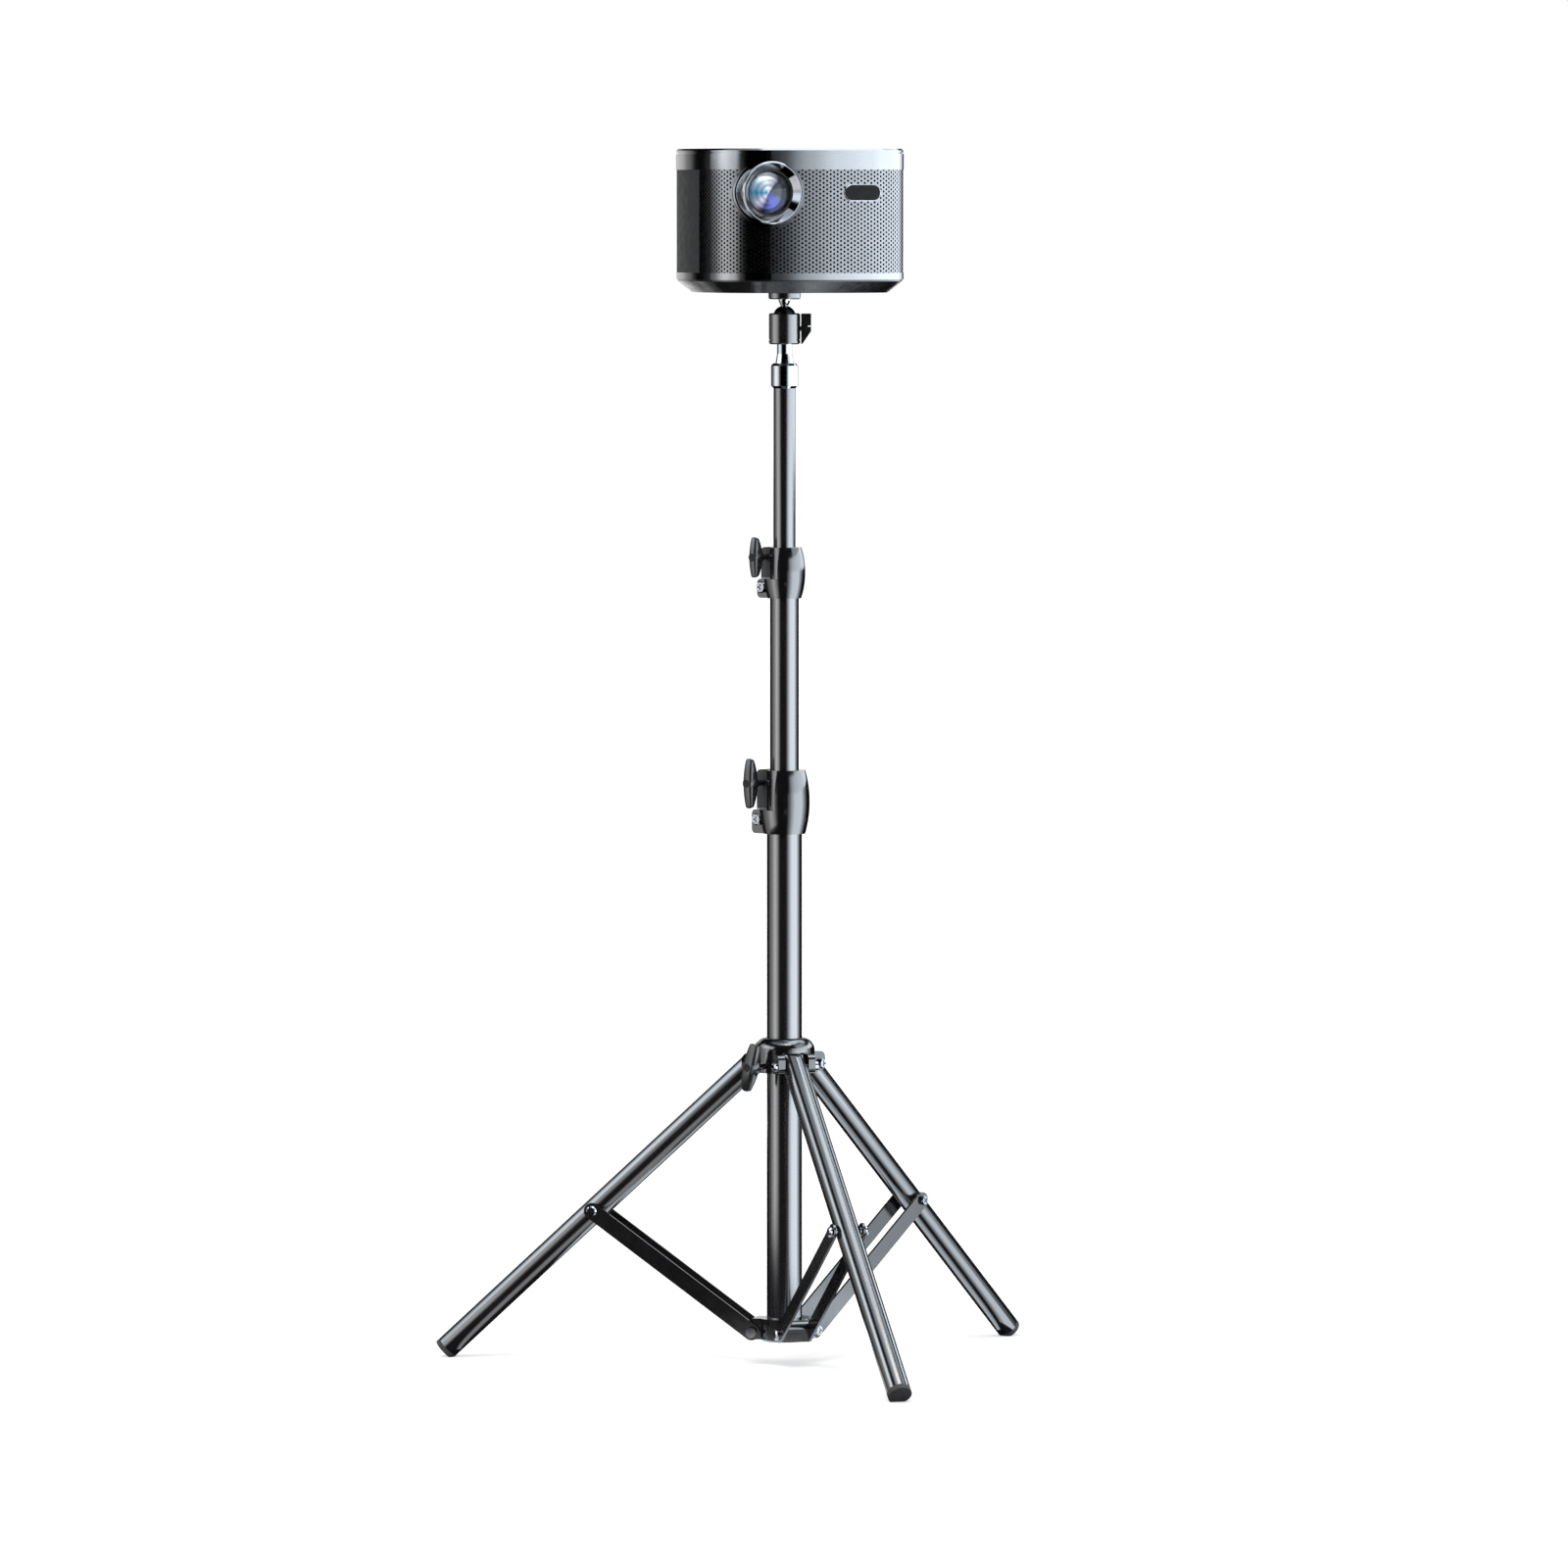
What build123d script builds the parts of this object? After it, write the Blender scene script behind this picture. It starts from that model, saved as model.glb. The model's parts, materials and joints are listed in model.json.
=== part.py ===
from build123d import *
import os
from math import asin, cos, degrees, radians, sin, sqrt, tan

# Portable projector on a folding tripod stand with a telescopic mast.
# Millimetres, +Z up, origin on the floor under the mast, the projector looks along -Y.

# Directions round the mast, in degrees from +X
LEG_AZIMUTHS = (30.0, 150.0, 270.0)
KNOB_AZIMUTH = 210.0
HEAD_KNOB_AZIMUTH = 340.0

# Mast tubes
LOWER_TUBE_D = 28.0
LOWER_TUBE_LENGTH = 419.1
MIDDLE_TUBE_D = 23.0
MIDDLE_TUBE_LENGTH = 419.0
MIDDLE_TUBE_DRAWN = 136.5
TOP_TUBE_D = 17.6
TOP_TUBE_LENGTH = 400.0
TOP_TUBE_DRAWN = 126.0
TUBE_WALL = 1.2
SLIDE_CLEARANCE = 0.1

# Legs and their pivots
LEG_D = 19.0
LEG_LENGTH = 343.5
LEG_SPREAD = 47.05
LEG_PIVOT_RADIUS = 26.2
LEG_PIVOT_TO_BRACE = 174.6
FOOT_FACET_DEPTH = 1.5
FOOT_CAP_LENGTH = 4.0
FOOT_SPIGOT_LENGTH = 18.0

# Braces, each a pair of flat bars
BRACE_LENGTH = 160.4
BRACE_WIDTH = 13.0
BRACE_THICKNESS = 2.0
BRACE_HALF_SPACING = 11.2
BRACE_SPACER_D = 7.0

# Pivot pins and bolts
PIVOT_PIN_D = 5.0
RUNNING_CLEARANCE = 0.05
SIDE_CLEARANCE = 0.3
BOLT_HEAD_D = 8.4
BOLT_HEAD_HEIGHT = 3.0
BOLT_HEAD_CHAMFER = 1.0
CROSS_LENGTH = 5.0
CROSS_WIDTH = 1.2
CROSS_DEPTH = 1.2

# Lower hub
HUB_PIVOT_RADIUS = 24.2
HUB_D = 40.4
HUB_HEIGHT = 18.0
HUB_BELOW_PIVOT = 7.1
HUB_FLOOR = 3.0
HUB_CHAMFER = 1.5
HUB_LUG_REACH = 4.6
HUB_LUG_BELOW_PIVOT = 5.8
HUB_LUG_CORNER = 6.5

# Leg collar that slides on the lower tube
LEG_COLLAR_D = 48.2
LEG_COLLAR_BELOW_PIVOT = 5.8
LEG_COLLAR_DOME_HEIGHT = 11.6
LEG_COLLAR_DOME_BULGE = 2.7
LEG_COLLAR_SLEEVE_WALL = 2.2
CLEVIS_CHEEK = 5.7
CLEVIS_REACH = 5.4
LEG_COLLAR_KNOB_CENTRE = 41.0
LEG_COLLAR_KNOB_HEIGHT = 39.0
LEG_COLLAR_KNOB_WIDTH = 11.0
LEG_COLLAR_KNOB_TURN = 14.0

# Wing knobs
KNOB_ARM_THICKNESS = 4.2
KNOB_TIP_THICKNESS = 2.9
KNOB_ROOT_SPAN = 15.0
KNOB_BOW = 2.4
KNOB_STEM_LENGTH = 4.5
KNOB_STEM_D = 10.0
KNOB_CORNER = 1.6
KNOB_DIMPLE_D = 4.4
KNOB_DIMPLE_DEPTH = 1.5
KNOB_SCREW_D = 5.0

# Lower clamp collar
LOWER_COLLAR_HEIGHT = 50.5
LOWER_COLLAR_END_D = 33.4
LOWER_COLLAR_BELLY_D = 40.4
LOWER_COLLAR_GRIP = 18.0
LOWER_EAR_FRONT = 12.0
LOWER_EAR_SET_BACK = 6.0
LOWER_EAR_BEHIND = 8.0
LOWER_EAR_LOW_HEIGHT = 19.0
LOWER_SCREW_OFFSET = 17.2
LOWER_EAR_REACH = 6.8
LOWER_BOLT_HEIGHT = 11.2
LOWER_KNOB_HEIGHT = 40.0
LOWER_KNOB_SPAN = 39.7
LOWER_KNOB_WIDTH = 8.6
LOWER_KNOB_FACE = 26.4

# Upper clamp collar
UPPER_COLLAR_HEIGHT = 40.2
UPPER_COLLAR_END_D = 27.0
UPPER_COLLAR_BELLY_D = 33.2
UPPER_COLLAR_GRIP = 14.2
UPPER_EAR_FRONT = 9.6
UPPER_EAR_SET_BACK = 4.8
UPPER_EAR_BEHIND = 6.6
UPPER_EAR_LOW_HEIGHT = 15.2
UPPER_SCREW_OFFSET = 14.8
UPPER_EAR_REACH = 5.6
UPPER_BOLT_HEIGHT = 8.6
UPPER_KNOB_HEIGHT = 32.4
UPPER_KNOB_SPAN = 32.0
UPPER_KNOB_WIDTH = 7.4
UPPER_KNOB_FACE = 22.6

# Clamp details shared by both collars
CLAMP_SLIT = 1.6
CLAMP_WALL = 2.6
CLAMP_RECESS_PAST_AXIS = 6.0
SPOT_FACE_GAP = 0.4
EAR_FILLET = 3.5
CLAMP_BOLT_D = 4.0
CLAMP_BOLT_HEAD_D = 9.6
CLAMP_NUT_D = 8.0

# Chrome spigot on the top tube
SPIGOT_D = 21.8
SPIGOT_HEIGHT = 19.8
SPIGOT_CHAMFER = 2.0
SPIGOT_PLUG_LENGTH = 20.0
SPIGOT_NECK_HEIGHT = 15.1
SPIGOT_NECK_TOP_D = 12.0
SPIGOT_NECK_TAPER = 7.5
SPIGOT_NECK_FOOT_D = 14.6
SPIGOT_STUD_LENGTH = 6.0

# Ball head
HEAD_D = 25.0
HEAD_HEIGHT = 24.5
HEAD_CHAMFER = 1.0
HEAD_GROOVE_RISE = 3.2
HEAD_GROOVE_WIDTH = 0.8
HEAD_GROOVE_DEPTH = 0.5
HEAD_WALL = 1.6
BALL_D = 18.4
BALL_ABOVE_HEAD = 6.1
BALL_CLEARANCE = 0.25
BALL_TILT = 30.0
CUP_FLOOR = 1.2
STUD_NECK_D = 6.0
STUD_CONE_D = 9.6
STUD_CONE_RIM = 1.2
STUD_ABOVE_BALL = 5.0
CAMERA_SCREW_D = 6.35
CAMERA_SCREW_LENGTH = 5.0
PLATE_D = 25.8
PLATE_THICKNESS = 5.6
PLATE_CHAMFER = 0.9
HEAD_KNOB_LENGTH = 24.0
HEAD_KNOB_THICKNESS = 7.8
HEAD_KNOB_WIDTH = 11.0
HEAD_KNOB_TAPER_START = -2.0
HEAD_KNOB_TIP = 1.0
HEAD_KNOB_CORNER = 2.0
HEAD_KNOB_SLOT_HEIGHT = 2.0
HEAD_KNOB_SLOT_WIDTH = 0.9
HEAD_KNOB_SLOT_DEPTH = 2.5
HEAD_KNOB_GAP = 0.8
HEAD_KNOB_SCREW_D = 4.0

# Projector housing
PROJECTOR_WIDTH = 167.0
PROJECTOR_DEPTH = 167.0
PROJECTOR_CORNER = 46.0
PROJECTOR_SIDE_RADIUS = 260.0
PROJECTOR_FORWARD = 12.8
BASE_HEIGHT = 10.4
BASE_INSET = 1.2
BASE_SLANT_IN = 11.2
BASE_SLANT_UP = 9.0
BASE_FLOOR = 3.0
BASE_BOSS_D = 16.0
BASE_BOSS_HEIGHT = 7.0
LOWER_TRIM_HEIGHT = 5.2
GRILLE_HEIGHT = 81.0
UPPER_TRIM_HEIGHT = 12.6
TRIM_WALL = 6.0
GRILLE_INSET = 0.5
GRILLE_THICKNESS = 1.2
GRILLE_END = 21.0
COVER_THICKNESS = 2.4
LINER_INSET = 3.2
LINER_THICKNESS = 2.0
LID_THICKNESS = 3.9
LID_INSET = 0.4
LID_GROOVE_HEIGHT = 0.9
LID_GROOVE_DEPTH = 1.6
LID_CHAMFER = 1.4

# Lens and sensor window in the front
LENS_ACROSS = -43.0
LENS_BELOW_TOP = 34.6
BEZEL_D = 49.2
BEZEL_CHAMFER = 0.8
BEZEL_MOUTH_D = 46.4
BEZEL_THROAT_D = 37.2
BEZEL_CONE_DEPTH = 5.0
BEZEL_PROUD = 2.0
BEZEL_DEPTH = 24.0
FLANGE_D = 52.4
FLANGE_RIM = 1.0
FLANGE_PROUD = 0.6
FLANGE_DEPTH = 2.0
BARREL_RECESS = 0.6
BARREL_SLOPE = 1.0
BARREL_LEDGE = 1.5
BARREL_BACK = 3.0
GLASS_D = 34.0
GLASS_EDGE = 3.0
GLASS_BULGE = 4.5
SENSOR_ACROSS = 33.0
SENSOR_WIDTH = 30.4
SENSOR_HEIGHT = 12.2
SENSOR_PROUD = 0.8
SENSOR_DEPTH = 5.0
FIT_GAP = 0.05

# Port panel in the back
PORT_PANEL_WIDTH = 74.0
PORT_PANEL_HEIGHT = 30.0
PORT_PANEL_CORNER = 6.0
PORT_PANEL_DEPTH = 7.0
PORT_PANEL_RECESS = 3.0
PORT_PANEL_ABOVE_GRILLE = 12.0
PORT_DEPTH = 4.5
PORT_WIDTHS = (15.0, 13.0, 9.0)
PORT_HEIGHT = 6.0
PORT_CORNER = 1.0
PORT_PITCH = 19.0
PORT_ROW_START = -1.5
INLET_D = 9.0
INLET_BORE_D = 5.6
INLET_PIN_D = 1.6
INLET_FLOOR = 1.0

# Linkage worked out from the legs
FLOOR = 0.0
SPREAD = radians(LEG_SPREAD)
LEG_R = LEG_D / 2
FOOT_Z = LEG_R * sin(SPREAD) - FOOT_FACET_DEPTH
PIVOT_Z = FOOT_Z + LEG_LENGTH * cos(SPREAD)
BRACE_R = LEG_PIVOT_RADIUS + LEG_PIVOT_TO_BRACE * sin(SPREAD)
BRACE_Z = PIVOT_Z - LEG_PIVOT_TO_BRACE * cos(SPREAD)
BRACE_RUN = BRACE_R - HUB_PIVOT_RADIUS
BRACE_ANGLE = asin(BRACE_RUN / BRACE_LENGTH)
HUB_Z = BRACE_Z - BRACE_LENGTH * cos(BRACE_ANGLE)

# Heights along the mast
HUB_BOTTOM = HUB_Z - HUB_BELOW_PIVOT
LOWER_TUBE_FOOT = HUB_BOTTOM + HUB_FLOOR
LOWER_TUBE_TOP = LOWER_TUBE_FOOT + LOWER_TUBE_LENGTH
LOWER_COLLAR_Z = LOWER_TUBE_TOP - LOWER_COLLAR_GRIP
UPPER_COLLAR_Z = LOWER_COLLAR_Z + LOWER_COLLAR_HEIGHT + MIDDLE_TUBE_DRAWN
MIDDLE_TUBE_TOP = UPPER_COLLAR_Z + UPPER_COLLAR_GRIP
TOP_TUBE_TOP = UPPER_COLLAR_Z + UPPER_COLLAR_HEIGHT + TOP_TUBE_DRAWN
SPIGOT_TOP = TOP_TUBE_TOP + SPIGOT_HEIGHT
HEAD_Z = SPIGOT_TOP + SPIGOT_NECK_HEIGHT
HEAD_TOP = HEAD_Z + HEAD_HEIGHT
BALL_TOP = HEAD_TOP + BALL_ABOVE_HEAD
BALL_Z = BALL_TOP - BALL_D / 2
PLATE_Z = BALL_TOP + STUD_ABOVE_BALL
PROJECTOR_Z = PLATE_Z + PLATE_THICKNESS
LOWER_TRIM_Z = PROJECTOR_Z + BASE_HEIGHT
GRILLE_Z = LOWER_TRIM_Z + LOWER_TRIM_HEIGHT
UPPER_TRIM_Z = GRILLE_Z + GRILLE_HEIGHT
LID_Z = UPPER_TRIM_Z + UPPER_TRIM_HEIGHT
PROJECTOR_TOP = LID_Z + LID_THICKNESS
LENS_Z = PROJECTOR_TOP - LENS_BELOW_TOP
FRONT_Y = -PROJECTOR_DEPTH / 2 - PROJECTOR_FORWARD
REAR_Y = FRONT_Y + PROJECTOR_DEPTH
GRILLE_END_Y = -PROJECTOR_FORWARD - GRILLE_END
PANEL_Y = REAR_Y - PORT_PANEL_RECESS
PANEL_Z = GRILLE_Z + PORT_PANEL_ABOVE_GRILLE + PORT_PANEL_HEIGHT / 2

# Half widths across a pivot, from its middle to each face
CLEVIS_INNER = LEG_R + SIDE_CLEARANCE
CLEVIS_OUTER = CLEVIS_INNER + CLEVIS_CHEEK
BRACE_OUTER = BRACE_HALF_SPACING + BRACE_THICKNESS
HUB_LUG_HALF = BRACE_HALF_SPACING - SIDE_CLEARANCE
PIN_R = PIVOT_PIN_D / 2
EAR_AZIMUTH = KNOB_AZIMUTH - 90.0
UP = (Align.CENTER, Align.CENTER, Align.MIN)


def post(radius, foot, top):
    """Upright cylinder on the mast axis."""
    return Pos(0, 0, foot) * Cylinder(radius, top - foot, align=UP)


def pipe(outer, inner, foot, top):
    """Upright tube on the mast axis, given by its two radii."""
    return post(outer, foot, top) - post(inner, foot - 1, top + 1)


def block(x_range, y_range, z_range):
    """Box from its low and high limits on each axis."""
    low = Vector(x_range[0], y_range[0], z_range[0])
    size = Vector(x_range[1], y_range[1], z_range[1]) - low
    corner = (Align.MIN, Align.MIN, Align.MIN)
    return Pos(low) * Box(size.X, size.Y, size.Z, align=corner)


def rod(radius, start, end):
    """Cylinder along Y between two Y values, on the XZ origin."""
    return Pos(0, end, 0) * Rot(90, 0, 0) * Cylinder(radius, end - start, align=UP)


def turned(points):
    """Solid of revolution about Z from straight-sided half profile points (radius, height)."""
    outline = Polyline([(r, 0, z) for r, z in points], close=True)
    return revolve(make_face(outline), Axis.Z, 360)


def cross_recess(face):
    """Cross-shaped driver recess sunk from a head face at Y = face, opening towards -Y."""
    depth = (face - 1, face + CROSS_DEPTH)
    half, thin = CROSS_LENGTH / 2, CROSS_WIDTH / 2
    tall = block((-thin, thin), depth, (-half, half))
    wide = block((-half, half), depth, (-thin, thin))
    return tall + wide


def cross_bolt(head_face, head_d, shank_d, shank_end, nut_start, nut_d):
    """Cross-recess bolt along Y with its head towards -Y, and a round nut on its far end."""
    head = rod(head_d / 2, head_face, head_face + BOLT_HEAD_HEIGHT)
    head = chamfer(head.edges().sort_by(Axis.Y)[:1], BOLT_HEAD_CHAMFER)
    shank = rod(shank_d / 2, head_face + BOLT_HEAD_HEIGHT, shank_end)
    nut = rod(nut_d / 2, nut_start, shank_end)
    return head + shank + nut - cross_recess(head_face)


def across_pivot(piece, radius, height, azimuth):
    """Place a piece built along Y at a leg pivot, with Y along the tangent."""
    return Rot(0, 0, azimuth) * Pos(radius, 0, height) * piece


# Mast


def lower_mast_tube():
    radius = LOWER_TUBE_D / 2
    return pipe(radius, radius - TUBE_WALL, LOWER_TUBE_FOOT, LOWER_TUBE_TOP)


def middle_mast_tube():
    radius = MIDDLE_TUBE_D / 2
    return pipe(radius, radius - TUBE_WALL, MIDDLE_TUBE_TOP - MIDDLE_TUBE_LENGTH, MIDDLE_TUBE_TOP)


def top_mast_tube():
    radius = TOP_TUBE_D / 2
    return pipe(radius, radius - TUBE_WALL, TOP_TUBE_TOP - TOP_TUBE_LENGTH, TOP_TUBE_TOP)


def barrel_body(foot, height, end_d, belly_d):
    """Barrel with a bowed side, as a solid of revolution."""
    low, high = (end_d / 2, 0, foot), (end_d / 2, 0, foot + height)
    side = ThreePointArc(low, (belly_d / 2, 0, foot + height / 2), high)
    ends = Polyline([high, (0, 0, foot + height), (0, 0, foot), low])
    return revolve(make_face(side.edges() + ends.edges()), Axis.Z, 360)


def clamp_collar(foot, height, end_d, belly_d, grip, low_bore, high_bore, ear):
    """Split clamp collar, with its ears along +X and its screws along Y."""
    body = barrel_body(foot, height, end_d, belly_d)
    ear_end = ear["screw"] + ear["reach"]
    step = foot + ear["low_height"]
    low_ear = block((0, ear_end), (-ear["behind"], ear["front"]), (foot, step))
    low_ear = fillet(low_ear.edges().filter_by(Axis.Y).group_by(Axis.X)[-1], EAR_FILLET)
    high_ear = block((0, ear_end), (-ear["behind"], ear["set_back"]), (step, foot + height))
    high_ear = fillet(high_ear.edges().filter_by(Axis.Y).sort_by(Axis.Z)[-1:], EAR_FILLET)
    past = CLAMP_RECESS_PAST_AXIS
    recess = block((-past, belly_d), (ear["set_back"], belly_d), (step, foot + height + 1))
    recess -= post(high_bore + CLAMP_WALL, step, foot + height + 1)
    body = body - recess + low_ear + high_ear
    body -= post(low_bore, foot - 1, foot + grip)
    body -= post(high_bore, foot + grip - 1, foot + height + 1)
    half_slit = CLAMP_SLIT / 2
    body -= block((0, ear_end + 1), (-half_slit, half_slit), (foot - 1, foot + height + 1))
    bolt_hole = rod(CLAMP_BOLT_D / 2, -belly_d, belly_d)
    screw_hole = rod(KNOB_SCREW_D / 2 + RUNNING_CLEARANCE, -belly_d, belly_d)
    head_seat = rod(CLAMP_BOLT_HEAD_D / 2 + SPOT_FACE_GAP, ear["front"], belly_d)
    nut_seat = rod(CLAMP_NUT_D / 2 + SPOT_FACE_GAP, -belly_d, -ear["behind"])
    body -= Pos(ear["screw"], 0, foot + ear["bolt"]) * (bolt_hole + head_seat + nut_seat)
    body -= Pos(ear["screw"], 0, foot + ear["knob"]) * screw_hole
    return body


LOWER_EAR = {
    "screw": LOWER_SCREW_OFFSET,
    "reach": LOWER_EAR_REACH,
    "front": LOWER_EAR_FRONT,
    "set_back": LOWER_EAR_SET_BACK,
    "behind": LOWER_EAR_BEHIND,
    "low_height": LOWER_EAR_LOW_HEIGHT,
    "bolt": LOWER_BOLT_HEIGHT,
    "knob": LOWER_KNOB_HEIGHT,
}
UPPER_EAR = {
    "screw": UPPER_SCREW_OFFSET,
    "reach": UPPER_EAR_REACH,
    "front": UPPER_EAR_FRONT,
    "set_back": UPPER_EAR_SET_BACK,
    "behind": UPPER_EAR_BEHIND,
    "low_height": UPPER_EAR_LOW_HEIGHT,
    "bolt": UPPER_BOLT_HEIGHT,
    "knob": UPPER_KNOB_HEIGHT,
}


def on_ears(piece, ear, foot, height):
    """Place a piece built along Y on a collar's screw axis, with its -Y end towards the knob side."""
    return Rot(0, 0, EAR_AZIMUTH) * Pos(ear["screw"], 0, foot + ear[height]) * Rot(0, 0, 180) * piece


def lower_collar():
    bore = MIDDLE_TUBE_D / 2 + SLIDE_CLEARANCE
    collar = clamp_collar(
        LOWER_COLLAR_Z, LOWER_COLLAR_HEIGHT, LOWER_COLLAR_END_D, LOWER_COLLAR_BELLY_D,
        LOWER_COLLAR_GRIP, LOWER_TUBE_D / 2, bore, LOWER_EAR)
    return Rot(0, 0, EAR_AZIMUTH) * collar


def upper_collar():
    bore = TOP_TUBE_D / 2 + SLIDE_CLEARANCE
    collar = clamp_collar(
        UPPER_COLLAR_Z, UPPER_COLLAR_HEIGHT, UPPER_COLLAR_END_D, UPPER_COLLAR_BELLY_D,
        UPPER_COLLAR_GRIP, MIDDLE_TUBE_D / 2, bore, UPPER_EAR)
    return Rot(0, 0, EAR_AZIMUTH) * collar


def clamp_bolt(ear, foot):
    """Cross-recess bolt and nut that close a collar's fixed half."""
    nut_start = ear["behind"]
    bolt = cross_bolt(
        -ear["front"] - BOLT_HEAD_HEIGHT, CLAMP_BOLT_HEAD_D, CLAMP_BOLT_D,
        nut_start + BOLT_HEAD_HEIGHT, nut_start, CLAMP_NUT_D)
    return on_ears(bolt, ear, foot, "bolt")


def wing_knob(face, span, width):
    """Wing knob about the Y axis with its bowed face towards -Y at Y = -face, wings along Z."""
    half = span / 2
    tip = -face + KNOB_BOW
    stem_face = -face + KNOB_ARM_THICKNESS + KNOB_STEM_LENGTH
    bow = ThreePointArc((0, tip, half), (0, -face, 0), (0, tip, -half))
    back = Polyline([
        (0, tip, -half),
        (0, tip + KNOB_TIP_THICKNESS, -half),
        (0, -face + KNOB_ARM_THICKNESS + KNOB_BOW, -KNOB_ROOT_SPAN / 2),
        (0, stem_face, -KNOB_STEM_D / 2),
        (0, stem_face, KNOB_STEM_D / 2),
        (0, -face + KNOB_ARM_THICKNESS + KNOB_BOW, KNOB_ROOT_SPAN / 2),
        (0, tip + KNOB_TIP_THICKNESS, half),
        (0, tip, half),
    ])
    side = make_face(bow.edges() + back.edges())
    wing = extrude(side, width / 2, dir=(1, 0, 0), both=True)
    wing = fillet(wing.edges().filter_by(Axis.Y), KNOB_CORNER)
    return wing - rod(KNOB_DIMPLE_D / 2, -face - 1, -face + KNOB_DIMPLE_DEPTH)


def knob_screw(face, inner_end):
    """Plain screw from inside a wing knob to its inner end."""
    return rod(KNOB_SCREW_D / 2, -face + KNOB_ARM_THICKNESS + KNOB_STEM_LENGTH, inner_end)


def lower_collar_knob():
    knob = wing_knob(LOWER_KNOB_FACE, LOWER_KNOB_SPAN, LOWER_KNOB_WIDTH)
    return on_ears(knob, LOWER_EAR, LOWER_COLLAR_Z, "knob")


def lower_knob_screw():
    screw = knob_screw(LOWER_KNOB_FACE, LOWER_EAR_BEHIND + BOLT_HEAD_HEIGHT)
    return on_ears(screw, LOWER_EAR, LOWER_COLLAR_Z, "knob")


def upper_collar_knob():
    knob = wing_knob(UPPER_KNOB_FACE, UPPER_KNOB_SPAN, UPPER_KNOB_WIDTH)
    return on_ears(knob, UPPER_EAR, UPPER_COLLAR_Z, "knob")


def upper_knob_screw():
    screw = knob_screw(UPPER_KNOB_FACE, UPPER_EAR_BEHIND + BOLT_HEAD_HEIGHT)
    return on_ears(screw, UPPER_EAR, UPPER_COLLAR_Z, "knob")


def spigot():
    """Chrome spigot: plug in the top tube, chamfered collar, tapered neck and threaded stud."""
    radius, cut = SPIGOT_D / 2, SPIGOT_CHAMFER
    stud_r = CAMERA_SCREW_D / 2
    plug_r = TOP_TUBE_D / 2 - TUBE_WALL
    return turned([
        (0, TOP_TUBE_TOP - SPIGOT_PLUG_LENGTH),
        (plug_r, TOP_TUBE_TOP - SPIGOT_PLUG_LENGTH),
        (plug_r, TOP_TUBE_TOP),
        (radius - cut, TOP_TUBE_TOP),
        (radius, TOP_TUBE_TOP + cut),
        (radius, SPIGOT_TOP - cut),
        (radius - cut, SPIGOT_TOP),
        (SPIGOT_NECK_FOOT_D / 2, SPIGOT_TOP),
        (SPIGOT_NECK_TOP_D / 2, SPIGOT_TOP + SPIGOT_NECK_TAPER),
        (SPIGOT_NECK_TOP_D / 2, HEAD_Z),
        (stud_r, HEAD_Z),
        (stud_r, HEAD_Z + SPIGOT_STUD_LENGTH),
        (0, HEAD_Z + SPIGOT_STUD_LENGTH),
    ])


# Ball head

HEAD_R = HEAD_D / 2
BALL_R = BALL_D / 2
SEAT_R = BALL_R + BALL_CLEARANCE
SEAT_Z = BALL_Z - SEAT_R
CUP_R = HEAD_R - HEAD_WALL
CUP_FOOT = SEAT_Z - CUP_FLOOR
CUP_TOP = HEAD_TOP - HEAD_WALL


def seat_radius(height):
    """Radius of the ball's clearance sphere at a height."""
    return sqrt(SEAT_R ** 2 - (height - BALL_Z) ** 2)


def ball_head_body():
    """Turned housing with a retaining lip, bored for the cup, the spigot's stud and the knob's screw."""
    cut = HEAD_CHAMFER
    groove_foot = HEAD_Z + HEAD_GROOVE_RISE
    groove_top = groove_foot + HEAD_GROOVE_WIDTH
    groove_r = HEAD_R - HEAD_GROOVE_DEPTH
    bore = CUP_R + SLIDE_CLEARANCE
    bore_foot = CUP_FOOT - SLIDE_CLEARANCE
    bore_top = CUP_TOP + SLIDE_CLEARANCE
    body = turned([
        (0, HEAD_Z),
        (HEAD_R - cut, HEAD_Z),
        (HEAD_R, HEAD_Z + cut),
        (HEAD_R, groove_foot),
        (groove_r, groove_foot),
        (groove_r, groove_top),
        (HEAD_R, groove_top),
        (HEAD_R, HEAD_TOP - cut),
        (HEAD_R - cut, HEAD_TOP),
        (seat_radius(HEAD_TOP), HEAD_TOP),
        (seat_radius(bore_top), bore_top),
        (bore, bore_top),
        (bore, bore_foot),
        (0, bore_foot),
    ])
    body -= post(CAMERA_SCREW_D / 2, HEAD_Z - 1, HEAD_Z + SPIGOT_STUD_LENGTH)
    return body - at_head_knob(rod(HEAD_KNOB_SCREW_D / 2 + RUNNING_CLEARANCE, -HEAD_R - 1, -CUP_R))


def at_head_knob(piece):
    """Place a piece built along -Y on the side knob's axis."""
    return Rot(0, 0, HEAD_KNOB_AZIMUTH + 90) * Pos(0, 0, HEAD_Z + HEAD_HEIGHT / 2) * piece


def ball_cup():
    """Liner that turns in the housing: a cone that the ball sits in, under a plain bore."""
    cone_foot = SEAT_R * (sqrt(2) - 1)
    return turned([
        (0, CUP_FOOT),
        (CUP_R, CUP_FOOT),
        (CUP_R, CUP_TOP),
        (SEAT_R, CUP_TOP),
        (SEAT_R, BALL_Z - cone_foot),
        (cone_foot, SEAT_Z),
        (0, SEAT_Z),
    ])


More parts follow.
